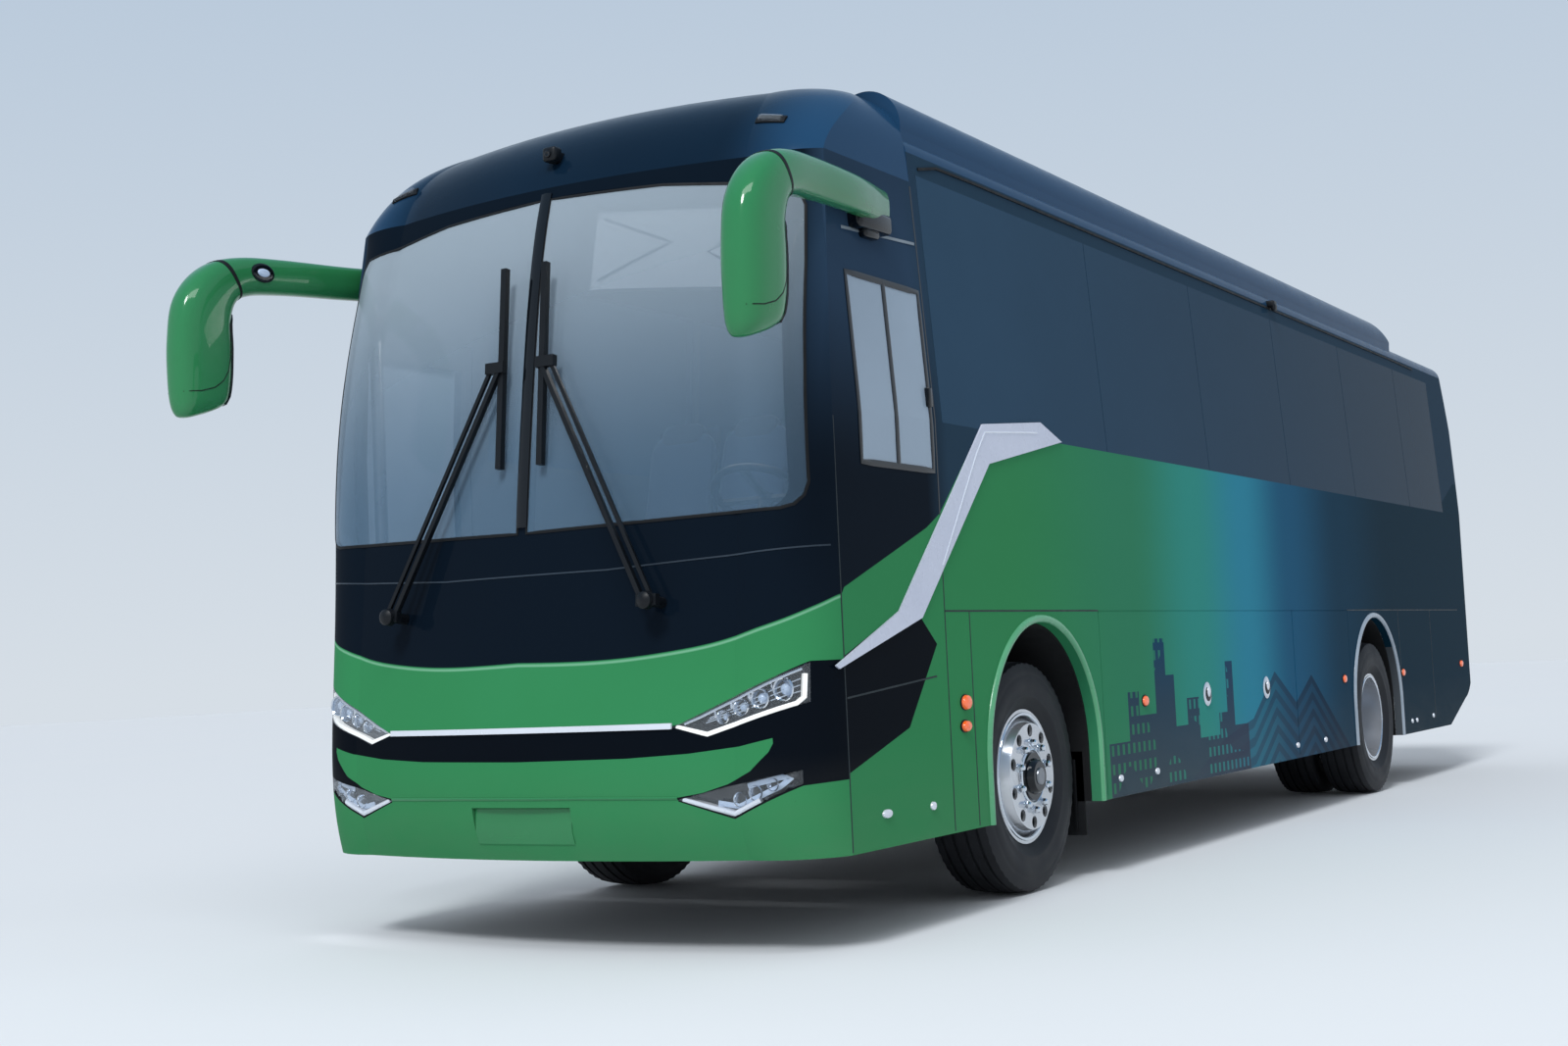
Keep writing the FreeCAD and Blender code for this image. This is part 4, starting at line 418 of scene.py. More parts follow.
# the windscreen, paler upwards: a painted sky reflection
screen_glass = screen("windscreen_glass", rgb(98, 128, 154), rgb(164, 180, 193), 1.7, 3.0)
cab_glass = glass("cab_window_glass", rgb(150, 168, 186), 0.8, 0.95, 0.03, 0.25)
rear_glass = glass("rear_glass", rgb(20, 28, 38), 0.9, 0.97, 0.04, 0.2)
lens_clear = glass("clear_lens", rgb(190, 200, 210), 0.05, 0.3, 0.02, 0.4)
chrome = plain("chrome", rgb(214, 220, 228), 0.12, 1.0, depth=0.04, vary=0.04, wear=0.05)
alloy = plain("polished_alloy", rgb(206, 209, 214), 0.2, 0.72, 0.2, 120.0, 0.08, 0.05, 0.07)
silver = plain("satin_silver", rgb(222, 228, 238), 0.24, 0.3, 0.3, 500.0, 0.02, 0.02, 0.04)
black_plastic = plain("black_plastic", rgb(12, 16, 21), 0.42, grain=500.0, depth=0.15)
gloss_black = plain("gloss_black", rgb(7, 12, 18), 0.14, coat=0.3, depth=0.03, wear=0.04)
seal = plain("rubber_seal", rgb(12, 14, 17), 0.6, depth=0.3)
hairline = plain("panel_seam", rgb(20, 34, 40), 0.5, wear=0.06)
mask_line = plain("mask_line", rgb(44, 56, 68), 0.4, wear=0.06)
pale_seam = plain("pale_seam", rgb(120, 132, 142), 0.45, vary=0.15)
chassis_black = plain("chassis_black", rgb(32, 33, 36), 0.55, grain=90.0, depth=0.4, vary=0.15, wear=0.1)
cast = plain("cast_iron", rgb(44, 45, 48), 0.6, 0.4, grain=60.0, depth=0.7, vary=0.18, wear=0.1)
steel = plain("brushed_steel", rgb(150, 153, 158), 0.33, 1.0, grain=200.0, depth=0.15, vary=0.08, wear=0.1)
bellows = plain("bellows_rubber", rgb(24, 25, 27), 0.7, grain=80.0, depth=0.5)
liner = plain("arch_liner_felt", rgb(22, 23, 25), 0.85, grain=220.0, depth=0.8, vary=0.2, wear=0.06)
floor_vinyl = plain("floor_vinyl", rgb(92, 95, 99), 0.5, grain=700.0, depth=0.5, vary=0.12)
dash_plastic = plain("dash_plastic", rgb(52, 56, 62), 0.55, grain=600.0, depth=0.5, vary=0.08, wear=0.06)
battery_paint = plain("battery_case", rgb(88, 93, 98), 0.5, 0.2, grain=200.0, depth=0.3)
seat_cloth = fabric("seat_cloth", rgb(48, 62, 92), rgb(84, 100, 132))
seat_trim = fabric("seat_trim", rgb(36, 38, 44), rgb(62, 66, 74))
blind_cloth = fabric("blind_cloth", rgb(190, 198, 206), rgb(226, 230, 234))
tyre_rubber = rubber("tyre_rubber")
amber = glow("amber_lens", rgb(236, 96, 24), 0.25)
trim_finish = trims("side_trim_paint")
red_lens = glow("red_lens", rgb(150, 12, 14), 0.15)
white_strip = glow("white_light_strip", rgb(236, 238, 236), 0.5)
# a faint blue glow on reflectors and lenses that only reflect: a painted glint
blue_glint = glow("lamp_reflector_glint", rgb(170, 190, 216), 0.1, 0.08)


def pairs(*names):
    """The names of nodes that come as a left and a right one."""
    return tuple(f"{name}_{side}" for name in names for side in SIDES)


FLAPS = tuple(f"luggage_flap_{side}_{end}" for side in SIDES for end in ("front", "rear"))
FINISH = {
    body_paint: ("front_mask", "front_bumper", *pairs("side_wall", "skirt_panels", "cab_side"), *FLAPS, "door_panel",
                 "rear_wall", "motor_bay_lid"),
    roof_paint: ("roof_front_cap", "roof_shell", "roof_fairing"),
    mirror_paint: ("mirrors",),
    side_glass: ("side_glass",),
    screen_glass: ("windscreen",),
    cab_glass: ("driver_window", "door_glass"),
    rear_glass: ("rear_window",),
    trim_finish: ("side_trims",),
    silver: ("chrome_bar",),
    alloy: pairs("rim_front", "rim_rear"),
    tyre_rubber: pairs("tyre_front", "tyre_rear"),
    cast: ("front_axle", *pairs("knuckle"), "rear_axle", "drive_motor_block"),
    steel: ("tie_rod", "door_arm"),
    bellows: ("air_springs",),
    chassis_black: ("chassis_rails", "body_frames", "bay_ladder", "luggage_bay"),
    floor_vinyl: ("cabin_floors", "entry_steps"),
    battery_paint: ("battery_block",),
    liner: ("arch_liners",),
    dash_plastic: ("dashboard",),
    black_plastic: ("steering_wheel", "wipers"),
    red_lens: ("tail_lamps",),
    lens_clear: ("headlamps", "fog_lamps"),
    seat_cloth: ("passenger_seats", "driver_seat"),
}
for finish, names in FINISH.items():
    for name in names:
        slots = nodes[name].material_slots
        if slots:
            for entry in slots:
                entry.material = finish
        else:
            nodes[name].data.materials.append(finish)


# Making pieces

def shade(item, angle=35.0):
    """Smooth shading that keeps edges sharper than the angle."""
    for face in item.data.polygons:
        face.use_smooth = True
    sharp = item.data.attributes.get("sharp_edge") or item.data.attributes.new("sharp_edge", "BOOLEAN", "EDGE")
    work = bmesh.new()
    work.from_mesh(item.data)
    limit = math.radians(angle)
    flags = [len(edge.link_faces) != 2 or edge.calc_face_angle(0.0) > limit for edge in work.edges]
    work.free()
    sharp.data.foreach_set("value", flags)


def piece(name, work, finish, body="coach", slot=None, weld=True):
    """Turns worked geometry into a piece that rides on a body."""
    if weld:
        bmesh.ops.remove_doubles(work, verts=work.verts[:], dist=0.00002)
    bmesh.ops.recalc_face_normals(work, faces=work.faces[:])
    mesh = bpy.data.meshes.new(name)
    work.to_mesh(mesh)
    work.free()
    item = bpy.data.objects.new(name, mesh)
    bpy.context.scene.collection.objects.link(item)
    mesh.materials.append(finish)
    shade(item)
    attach(item, body)
    return item


def mirrored(work, corners=None, faces=None):
    """The geometry, or some of it, moved to the other side of the coach."""
    for corner in corners or work.verts:
        corner.co.x = -corner.co.x
    bmesh.ops.reverse_faces(work, faces=faces or work.faces[:])
    return work


def flipped(work):
    """The geometry with its mirror image on the other side of the coach added to it."""
    twin = bmesh.ops.duplicate(work, geom=work.verts[:] + work.edges[:] + work.faces[:])["geom"]
    return mirrored(work, *([item for item in twin if isinstance(item, kind)]
                            for kind in (bmesh.types.BMVert, bmesh.types.BMFace)))


def joined(work, rings, closed=True, looped=False):
    """Faces between rings of corners. A ring is closed on itself or not, and the last ring meets the first or not."""
    for first, second in zip(rings, rings[1:] + rings[:1] if looped else rings[1:]):
        count = len(first)
        for index in range(count if closed else count - 1):
            follow = (index + 1) % count
            work.faces.new((first[index], first[follow], second[follow], second[index]))
    return work


def capped(work, rings):
    """Closed rings joined in a row, with a face at each end."""
    joined(work, rings)
    work.faces.new(rings[0])
    work.faces.new(list(reversed(rings[-1])))
    return work


def tree_of(*names):
    corners, faces = [], []
    for name in names:
        start = len(corners)
        corners += [corner.co.copy() for corner in nodes[name].data.vertices]
        faces += [[start + index for index in face.vertices] for face in nodes[name].data.polygons]
    return BVHTree.FromPolygons(corners, faces)


def skin_of(tree, start, way, depth, straight=False):
    """A skin: a function that lays two coordinates on a tree, seen along a way, and gives the place and the way out
    of it, or straight back. Where it meets nothing, the place lies at a depth."""
    way = Vector(way)

    def skin(first, second):
        origin = Vector(start(first, second))
        hit, normal, _, _ = tree.ray_cast(origin, way)
        if straight or not hit:
            return hit or origin + way * depth, -way
        return hit, normal if normal.dot(way) < 0 else -normal
    return skin


def from_side(y, z):
    return FAR_X, y, z


# Where the lines of sight start, well outside the coach
FAR_X = 4.0
FAR_Y = 9.0
on_front = skin_of(tree_of("front_mask", "front_bumper", "windscreen", "headlamps", "fog_lamps", "roof_front_cap"),
                   lambda x, z: (x, -FAR_Y, z), (0, 1, 0), FAR_Y - 5.0)
on_side = skin_of(tree_of("cab_side_left", "side_wall_left", "skirt_panels_left", "luggage_flap_left_front",
                          "luggage_flap_left_rear", "driver_window", "side_glass", "roof_shell", "roof_fairing",
                          "front_mask", "front_bumper", "rear_wall"), from_side, (-1, 0, 0), FAR_X - SIDE_X)
on_rear = skin_of(tree_of("rear_wall", "motor_bay_lid", "rear_window", "tail_lamps", "roof_shell"),
                  lambda x, z: (x, FAR_Y, z), (0, -1, 0), FAR_Y - TAIL_Y)
on_trim = skin_of(tree_of("side_trims"), from_side, (-1, 0, 0), FAR_X - SIDE_X, True)


def sunk(skin, depth):
    """A skin that lies a little behind another."""
    def behind(first, second):
        hit, out = skin(first, second)
        return hit - out * depth, out
    return behind


def between(points, step, closed=False):
    """More points along straight runs, no further apart than step."""
    full = []
    for start, end in zip(points, points[1:] + points[:1] if closed else points[1:]):
        count = max(1, math.ceil(math.dist(start, end) / step))
        for index in range(count):
            share = index / count
            full.append(tuple(a + (b - a) * share for a, b in zip(start, end)))
    if not closed:
        full.append(tuple(points[-1]))
    return full


def ribbon(work, points, skin, width, proud, step=0.05, closed=False, crown=0.0, sink=0.001):
    """A raised line along points on a skin, with a rounded top if it has a crown."""
    places = [skin(*point) for point in between(list(points), step, closed)]
    count = len(places)
    rings = []
    for index, (place, out) in enumerate(places):
        before = places[index - 1][0] if index or closed else place
        after = places[(index + 1) % count][0] if index + 1 < count or closed else place
        along = (after - before).normalized()
        across = along.cross(out).normalized() * width / 2
        top = out * proud
        profile = [place - across - out * sink, place - across + top, place + top + out * crown,
                   place + across + top, place + across - out * sink]
        rings.append([work.verts.new(corner) for corner in profile])
    return joined(work, rings, looped=True) if closed else capped(work, rings)


def line(name, points, skin, width, proud, finish, step=0.05, side=None, body="coach", **more):
    """A raised line as a piece of its own: as drawn, flipped or mirrored."""
    work = ribbon(bmesh.new(), points, skin, width, proud, step, **more)
    return piece(name, side(work) if side else work, finish, body)


def rect(low_a, high_a, low_b, high_b, inset=0.0):
    low_a, high_a, low_b, high_b = low_a + inset, high_a - inset, low_b + inset, high_b - inset
    return [(low_a, low_b), (high_a, low_b), (high_a, high_b), (low_a, high_b)]


def patch(outline, skin, proud, thick, step=0.08):
    """A panel with a flat outline laid on a skin. proud is its outer face above the skin."""
    work, flat = bmesh.new(), bmesh.new()
    flat.faces.new([flat.verts.new((a, b, 0)) for a, b in outline])
    for axis in (0, 1):
        low, high = (pick(point[axis] for point in outline) for pick in (min, max))
        count = int((high - low) / step)
        normal = Vector((1 - axis, axis, 0))
        for index in range(1, count + 1):
            level = low + (high - low) * index / (count + 1)
            bmesh.ops.bisect_plane(flat, geom=flat.verts[:] + flat.edges[:] + flat.faces[:],
                                   plane_co=normal * level, plane_no=normal)
    places = {}
    for corner in flat.verts:
        hit, out = skin(corner.co.x, corner.co.y)
        places[corner] = (work.verts.new(hit + out * proud), work.verts.new(hit + out * (proud - thick)))
    for face in flat.faces:
        work.faces.new([places[corner][0] for corner in face.verts])
        work.faces.new([places[corner][1] for corner in reversed(face.verts)])
    for edge in flat.edges:
        if len(edge.link_faces) == 1:
            a, b = edge.verts
            work.faces.new((places[a][0], places[b][0], places[b][1], places[a][1]))
    flat.free()
    return work


def turned(work, outline, centre, axis=(1, 0, 0), steps=48):
    """An outline of (along, radius) turned round an axis through the centre."""
    axis = Vector(axis).normalized()
    side = axis.orthogonal().normalized()
    rings = []
    for index in range(steps):
        out = Matrix.Rotation(2 * math.pi * index / steps, 3, axis) @ side
        rings.append([work.verts.new(Vector(centre) + axis * along + out * radius) for along, radius in outline])
    return joined(work, rings, closed=False, looped=True)


def edges_of(corners):
    """The edges at some corners, each once and in the same order each run."""
    return list(dict.fromkeys(edge for corner in corners for edge in corner.link_edges))


def block(work, low, high, round_by=0.0, segments=2, turn=None, pivot=(0, 0, 0)):
    """A box with rounded edges, turned about a pivot if wanted."""
    made = bmesh.ops.create_cube(work, size=1.0)
    low, high = Vector(low), Vector(high)
    for corner in made["verts"]:
        corner.co = (low + high) / 2 + Vector(a * b for a, b in zip(corner.co, high - low))
    if round_by:
        edges = edges_of(made["verts"])
        made = bmesh.ops.bevel(work, geom=edges, offset=round_by, segments=segments, affect="EDGES", profile=0.5)
    if turn:
        bmesh.ops.rotate(work, verts=made["verts"], cent=pivot, matrix=turn)
    return work


def blocks(*boxes, at=(0, 0, 0), work=None):
    """Rounded boxes, each (low, high, rounding, segments), all measured from one place."""
    work = work or bmesh.new()
    for low, high, *rounding in boxes:
        block(work, Vector(at) + Vector(low), Vector(at) + Vector(high), *rounding)
    return work


def body_at(y, z, side):
    """The body that carries a place on the side."""
    if z < HINGE_Z and FLAP_EDGES[0] < y < FLAP_EDGES[1]:
        return f"flap_{side}_front"
    if z < HINGE_Z and FLAP_EDGES[1] < y < FLAP_EDGES[2]:
        return f"flap_{side}_rear"
    return "coach"


# Side markers, caps and locks

def button(y, z, wide, tall, proud, steps=24, skin=on_side):
    """A domed oval on the side: a short wall, then a crown."""
    work = bmesh.new()
    hit, out = skin(y, z)
    rings = []
    for share, lift in ((1.0, -0.004), (1.0, proud * 0.45), (0.93, proud * 0.75), (0.7, proud * 0.95)):
        angles = [2 * math.pi * index / steps for index in range(steps)]
        rings.append([work.verts.new(hit + out * lift + Vector((0, math.cos(angle) * wide * share / 2,
                                                                math.sin(angle) * tall * share / 2)))
                      for angle in angles])
    return capped(work, rings)


def buttons(name, *shape, finish):
    """A button on the driver's side and its twin on the other, each on the body there."""
    for side in SIDES:
        work = button(*shape)
        piece(f"{name}_{side}", work if side == "left" else mirrored(work), finish, body_at(*shape[:2], side))


MARKER_Z = 0.81
MARKER_SIZE = (0.075, 0.05, 0.014)
# Place, then the size of each lamp and of its base
TURN_LAMPS = ((-3.874, 0.885, (0.079, 0.060, 0.022), (0.092, 0.067, 0.006)),
              (-3.885, 0.787, (0.073, 0.045, 0.022), (0.092, 0.054, 0.006)))
LOCKS = ((-4.601, 0.49, 0.075), (-4.212, 0.487, 0.045), (-2.197, 0.45, 0.05), (-1.699, 0.45, 0.05),
         (0.72, 0.44, 0.05), (1.322, 0.44, 0.05), (3.578, 0.45, 0.035), (3.72, 0.45, 0.035), (4.238, 0.46, 0.035))
for number, y in enumerate((-1.816, 1.845, 3.402), start=1):
    buttons(f"side_marker_{number}", y, MARKER_Z, *MARKER_SIZE, finish=amber)
    buttons(f"marker_base_{number}", y, MARKER_Z, 0.088, 0.062, 0.005, finish=seal)
buttons("tail_marker", 5.3, 0.83, *MARKER_SIZE, finish=amber)
for number, (y, z, lamp_size, base_size) in enumerate(TURN_LAMPS, start=1):
    buttons(f"turn_lamp_{number}", y, z, *lamp_size, finish=amber)
    buttons(f"turn_base_{number}", y, z, *base_size, finish=seal)
for number, y in enumerate((-0.88, 0.165), start=1):
    buttons(f"flap_handle_{number}", y, 0.81, 0.13, 0.13, 0.010, 32, finish=chrome)
    buttons(f"handle_dish_{number}", y, 0.81, 0.095, 0.085, 0.014, 32, finish=black_plastic)
    buttons(f"handle_pull_{number}", y, 0.822, 0.05, 0.06, 0.019, 24, finish=silver)
for number, (y, z, wide) in enumerate(LOCKS, start=1):
    buttons(f"lock_{number}", y, z, wide, 0.034, 0.010, 20, finish=silver)

# Panel seams: thin raised lines on the sides, and sealant in the joints of the glass


def seam_lines(name, lines, finish, width, proud=0.0008):
    work = bmesh.new()
    for points in lines:
        ribbon(work, points, on_side, width, proud, 0.2)
    piece(name, flipped(work), finish)


SKIRT_SEAMS = [[(y, SKIRT_Z + 0.01), (y, HINGE_Z)] for y in (-3.79, 3.36)]
SIDE_SEAMS = [[(CAB_SEAM, HINGE_Z), (FLAP_EDGES[0], HINGE_Z)], [(FLAP_EDGES[2], HINGE_Z), (5.28, HINGE_Z)],
              *SKIRT_SEAMS, [(4.33, SKIRT_Z + 0.08), (4.33, HINGE_Z)], [(CAB_SEAM, 0.37), (CAB_SEAM, 1.62)],
              [(NOSE_SEAM + 0.012, 0.94), (-4.12, 1.0)], [(NOSE_SEAM + 0.003, 0.37), (NOSE_SEAM + 0.003, 2.0)]]
seam_lines("side_seams", SIDE_SEAMS, hairline, 0.007)
seam_lines("cab_seams", [[(CAB_SEAM, 1.66), (CAB_SEAM, 3.04)]], gloss_black, 0.009)
seam_lines("glass_sealant", [[(y, 2.055), (y, 3.09)] for y in GLASS_JOINTS], pale_seam, 0.010, -0.001)
seam_lines("cab_hairline", [[(CAB_SEAM - 0.02, 2.79), (-4.66, 2.76)]], pale_seam, 0.012, 0.003)
TRIM_CREASE = [(-4.03, 1.45), (-3.66, 1.93), (-3.56, 2.035), (-3.0, 2.075)]
line("trim_creases", TRIM_CREASE, on_trim, 0.008, 0.0012, silver, side=flipped, crown=0.002)
# the gutter that runs along the roof edge
GUTTER = [(-3.93, 3.13), (-3.75, 3.168), (-3.4, 3.172), (0.0, 3.172), (3.9, 3.172), (4.6, 3.165)]
line("roof_gutter", GUTTER, on_side, 0.012, 0.006, seal, 0.25, flipped)


# Lamps in the front: a clear lens over a dark housing with its modules and a light strip

LENS_THICK = 0.003
HOUSING_DEPTH = 0.044
FRONT_WAY = (0, -1, 0)
HEAD_OUTLINE = ((0.69, 0.861), (0.826, 0.822), (1.185, 0.935), (1.185, 1.08), (0.793, 0.905))
HEAD_MODULES = ((0.875, 0.892, 0.024), (0.945, 0.925, 0.03), (1.02, 0.955, 0.035), (1.1, 0.985, 0.04))
HEAD_STRIP = [(0.703, 0.862), (0.826, 0.832), (1.150, 0.933), (1.172, 0.955), (1.174, 1.04)]
HEAD_BROW = [(0.735, 0.872), (0.80, 0.896), (1.165, 1.058)]
FOG_OUTLINE = ((0.70, 0.593), (0.912, 0.526), (1.16, 0.64), (1.16, 0.69), (0.912, 0.6415))
FOG_MODULES = ((0.93, 0.588, 0.026), (0.995, 0.612, 0.026), (1.06, 0.64, 0.022))
FOG_FRAME = [(0.72, 0.593), (0.912, 0.537), (1.02, 0.585)]
FOG_REFLECTOR = [(0.85, 0.574), (0.93, 0.56), (1.09, 0.63), (1.13, 0.66), (1.1, 0.665), (0.97, 0.636)]


def projector(work, x, z, radius, depth, steps):
    """A round lamp module: a bright bezel round a deep bowl. Gives its middle."""
    centre = on_front(x, z)[0] - Vector(FRONT_WAY) * depth
    outline = [(0.0, radius * 1.12), (0.006, radius * 1.05), (0.002, radius * 0.92), (-0.02, radius * 0.8),
               (-0.03, radius * 0.62)]
    turned(work, outline, centre, FRONT_WAY, steps)
    return centre


def lens_ball(work, centre, radius):
    outline = [(-0.03 + radius * 0.75 * math.sin(angle), max(0.0005, radius * 0.62 * math.cos(angle)))
               for angle in (0.0, 0.3, 0.6, 0.9, 1.2, 1.5)]
    turned(work, outline, centre, FRONT_WAY, 24)


def lamp_shell(name, outline, node):
    """The clear lens, which stands for the CAD node, and the housing behind it."""
    lens = patch(outline, on_front, 0.0, LENS_THICK, 0.03)
    item = piece(f"{name}_lens", flipped(lens), lens_clear, "coach", "lamp_lens")
    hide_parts(node)
    housing = patch(outline, on_front, -HOUSING_DEPTH, LENS_THICK, 0.05)
    piece(f"{name}_housing", flipped(housing), gloss_black)


lamp_shell("headlamp", HEAD_OUTLINE, "headlamps")
bezels, balls, fins = (bmesh.new() for _ in range(3))
for x, z, radius in HEAD_MODULES:
    middle = projector(bezels, x, z, radius, 0.022, 28)
    lens_ball(balls, middle, radius)
    block(fins, middle + Vector((-radius * 1.5, -0.004, -radius * 0.12)),
          middle + Vector((-radius * 1.1, 0.012, radius * 0.9)), 0.002)
in_lamp = sunk(on_front, 0.008)
ribbon(fins, HEAD_BROW, in_lamp, 0.009, 0.001, 0.04, crown=0.001, sink=0.02)
for rise in (0.25, 0.42, 0.6):
    ribbon(fins, [(0.80 + 0.04 * rise, 0.862 + 0.05 * rise), (1.165, 0.945 + 0.13 * rise)], sunk(on_front, 0.034),
           0.004, 0.001)
piece("headlamp_bezels", flipped(bezels), chrome)
piece("headlamp_balls", flipped(balls), blue_glint)
piece("headlamp_fins", flipped(fins), chrome)
line("headlamp_strip", HEAD_STRIP, in_lamp, 0.017, 0.003, white_strip, 0.03, flipped, crown=0.002, sink=0.02)
lamp_shell("fog", FOG_OUTLINE, "fog_lamps")
bezels = bmesh.new()
for x, z, radius in FOG_MODULES:
    projector(bezels, x, z, radius, 0.02, 24)
piece("fog_bezels", flipped(bezels), chrome)
line("fog_frame", FOG_FRAME, in_lamp, 0.018, 0.006, silver, 0.03, flipped, crown=0.003, sink=0.02)
line("fog_reflector", FOG_REFLECTOR, sunk(on_front, 0.022), 0.02, 0.002, blue_glint, 0.03, flipped, crown=0.002)

# Front: seams, blank plate, screen panes and rubber, roof camera and clearance lamps

MASK_SEAM = [(-1.235, 1.512), (-0.9, 1.49), (-0.4, 1.466), (0.4, 1.466), (0.9, 1.49), (1.235, 1.512)]
BUMPER_CREASE = [(-0.70, 0.600), (-0.3, 0.604), (0.3, 0.604), (0.70, 0.600)]
SCREEN_EDGE = ((0.023, 1.632), (0.55, 1.641), (0.85, 1.649), (1.10, 1.655), (1.145, 1.668), (1.175, 1.70),
               (1.188, 1.75), (1.176, 2.2), (1.158, 2.6), (1.14, 2.83), (1.12, 2.88), (1.07, 2.925), (0.85, 2.95),
               (0.55, 2.985), (0.023, 3.003))
line("mask_seam", MASK_SEAM, on_front, 0.006, 0.0022, mask_line, 0.04)
line("screen_divider", [(0.0, 1.655), (0.0, 3.03)], on_front, 0.05, 0.007, gloss_black, crown=0.006)
work = patch(SCREEN_EDGE, on_front, 0.0015, 0.004, 0.035)
item = piece("screen_panes", flipped(work), screen_glass, "coach", "window_glass")
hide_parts("windscreen")
line("screen_rubber", SCREEN_EDGE, on_front, 0.012, 0.003, seal, 0.06, flipped, closed=True, crown=0.001)
piece("blank_plate", patch(rect(-0.235, 0.235, 0.429, 0.564), on_front, 0.004, 0.008, 0.06), mirror_paint)
line("bumper_crease", BUMPER_CREASE, on_front, 0.012, 0.0022, mirror_paint, 0.04, crown=0.003)
hit = on_front(0.0, 3.20)[0]
work = blocks(((-0.02, -0.05, -0.03), (0.02, 0.03, 0.02), 0.008),
              ((-0.034, -0.075, -0.028), (0.034, -0.02, 0.034), 0.014, 3), at=hit)
piece("roof_camera", work, black_plastic)
work = turned(bmesh.new(), [(0.0, 0.016), (0.006, 0.015), (0.008, 0.010), (0.004, 0.0005)],
              hit + Vector((0, -0.075, 0.002)), FRONT_WAY, 24)
piece("roof_camera_lens", work, gloss_black)
CLEARANCE_X, CLEARANCE_Z = 0.95, 3.215
for number, length, width, proud, finish in ((1, 0.13, 0.043, 0.006, seal), (2, 0.10, 0.031, 0.016, lens_clear)):
    ends = [(CLEARANCE_X - length / 2, CLEARANCE_Z + 0.012), (CLEARANCE_X + length / 2, CLEARANCE_Z - 0.012)]
    line(f"clearance_lamp_{number}", ends, on_front, width, proud, finish, 0.03, flipped, crown=0.006)
hit = on_side(0.933, 3.2)[0]
work = blocks(((-0.03, -0.035, -0.02), (0.045, 0.035, 0.02), 0.01, 3),
              ((0.02, -0.028, -0.045), (0.05, 0.028, 0.0), 0.012, 3), at=hit)
piece("side_cameras", flipped(work), black_plastic)


# Wheels: grooved tyres, nuts, hub caps and trim rings

TYRE_HALF = 0.149
TYRE_RADIUS = 0.522
BEAD_RADIUS = 0.2863
TREAD_GROOVES = (-0.088, -0.032, 0.032, 0.088)
GROOVE = ((-0.008, 0.0), (-0.005, 0.012), (0.005, 0.012), (0.008, 0.0))
# The flank from the bead to the shoulder, as shares of half the width and of the rise above the bead
FLANK = ((0.62, 0.0), (0.70, 0.05), (0.80, 0.13), (0.90, 0.26), (0.955, 0.30), (0.965, 0.33), (0.955, 0.36),
         (0.99, 0.48), (1.0, 0.56), (0.985, 0.68), (0.965, 0.705), (0.97, 0.74), (0.945, 0.80), (0.905, 0.90),
         (0.87, 0.955))
TYRE_STEPS = 120


def tyre(x, axle):
    """A radial tyre: bead, bulged flank with rings, shoulder blocks and a grooved crown."""
    work = bmesh.new()
    half, radius, rise = TYRE_HALF, TYRE_RADIUS, TYRE_RADIUS - BEAD_RADIUS
    crown = [(place + offset, depth) for place in TREAD_GROOVES for offset, depth in GROOVE]
    outer = [(half * a, BEAD_RADIUS + rise * b) for a, b in FLANK]
    top = [(place, radius - 0.0015 - 0.010 * (place / half) ** 2 - depth) for place, depth in crown]
    inner = [(half * 0.62 - 0.02, BEAD_RADIUS + 0.002), (half - 0.024, BEAD_RADIUS + rise * 0.5),
             (half * 0.84 - 0.024, radius - 0.05), (0.0, radius - 0.045)]
    profile = [(-a, b) for a, b in outer] + top + outer[::-1] + inner + [(-a, b) for a, b in inner[-2::-1]]
    rings = []
    for index in range(TYRE_STEPS):
        angle = 2 * math.pi * index / TYRE_STEPS
        ring = []
        for along, out in profile:
            if abs(along) > half * 0.80 and out > radius - 0.035 and index % 2:
                out -= 0.006
            ring.append(work.verts.new((x + along, axle + math.cos(angle) * out, AXLE_Z + math.sin(angle) * out)))
        rings.append(ring)
    return joined(work, rings, looped=True)


def nuts(work, x, axle, circle=0.150, count=10, size=0.017, length=0.03):
    """Capped wheel nuts in a ring, each a tapered hexagon with a collar."""
    for index in range(count):
        angle = 2 * math.pi * (index + 0.5) / count
        centre = Vector((x, axle + math.cos(angle) * circle, AXLE_Z + math.sin(angle) * circle))
        turned(work, [(-0.002, size * 1.25), (0.004, size * 1.2), (0.005, size)], centre, steps=12)
        turned(work, [(0.004, size), (length * 0.8, size * 0.92), (length, size * 0.6), (length, 0.0004)], centre,
               steps=6)


TRACK_FRONT = 1.016
TRACK_REAR = 0.906
TWIN = 0.17
HUB = 0.150
REAR_CAP = TWIN - 0.038
FRONT_CENTRE = (TRACK_FRONT, AXLES[0], AXLE_Z)
REAR_CENTRE = (TRACK_REAR, AXLES[1], AXLE_Z)
# Turned parts as (along from the wheel's middle plane, radius)
HUB_RING = [(HUB - 0.006, 0.128), (HUB + 0.004, 0.126), (HUB + 0.008, 0.118), (HUB, 0.112)]
FRONT_HUB = [(HUB - 0.001, 0.111), (HUB + 0.012, 0.106), (HUB + 0.012, 0.082), (HUB + 0.034, 0.074),
             (HUB + 0.040, 0.066), (HUB + 0.040, 0.0005)]
FRONT_CAP = [(HUB + 0.040, 0.040), (HUB + 0.046, 0.038), (HUB + 0.048, 0.030), (HUB + 0.045, 0.0005)]
REAR_HUB = [(REAR_CAP - 0.03, 0.0935), (REAR_CAP + 0.001, 0.0935), (REAR_CAP + 0.010, 0.086),
            (REAR_CAP + 0.014, 0.05), (REAR_CAP + 0.022, 0.046), (REAR_CAP + 0.022, 0.0005)]


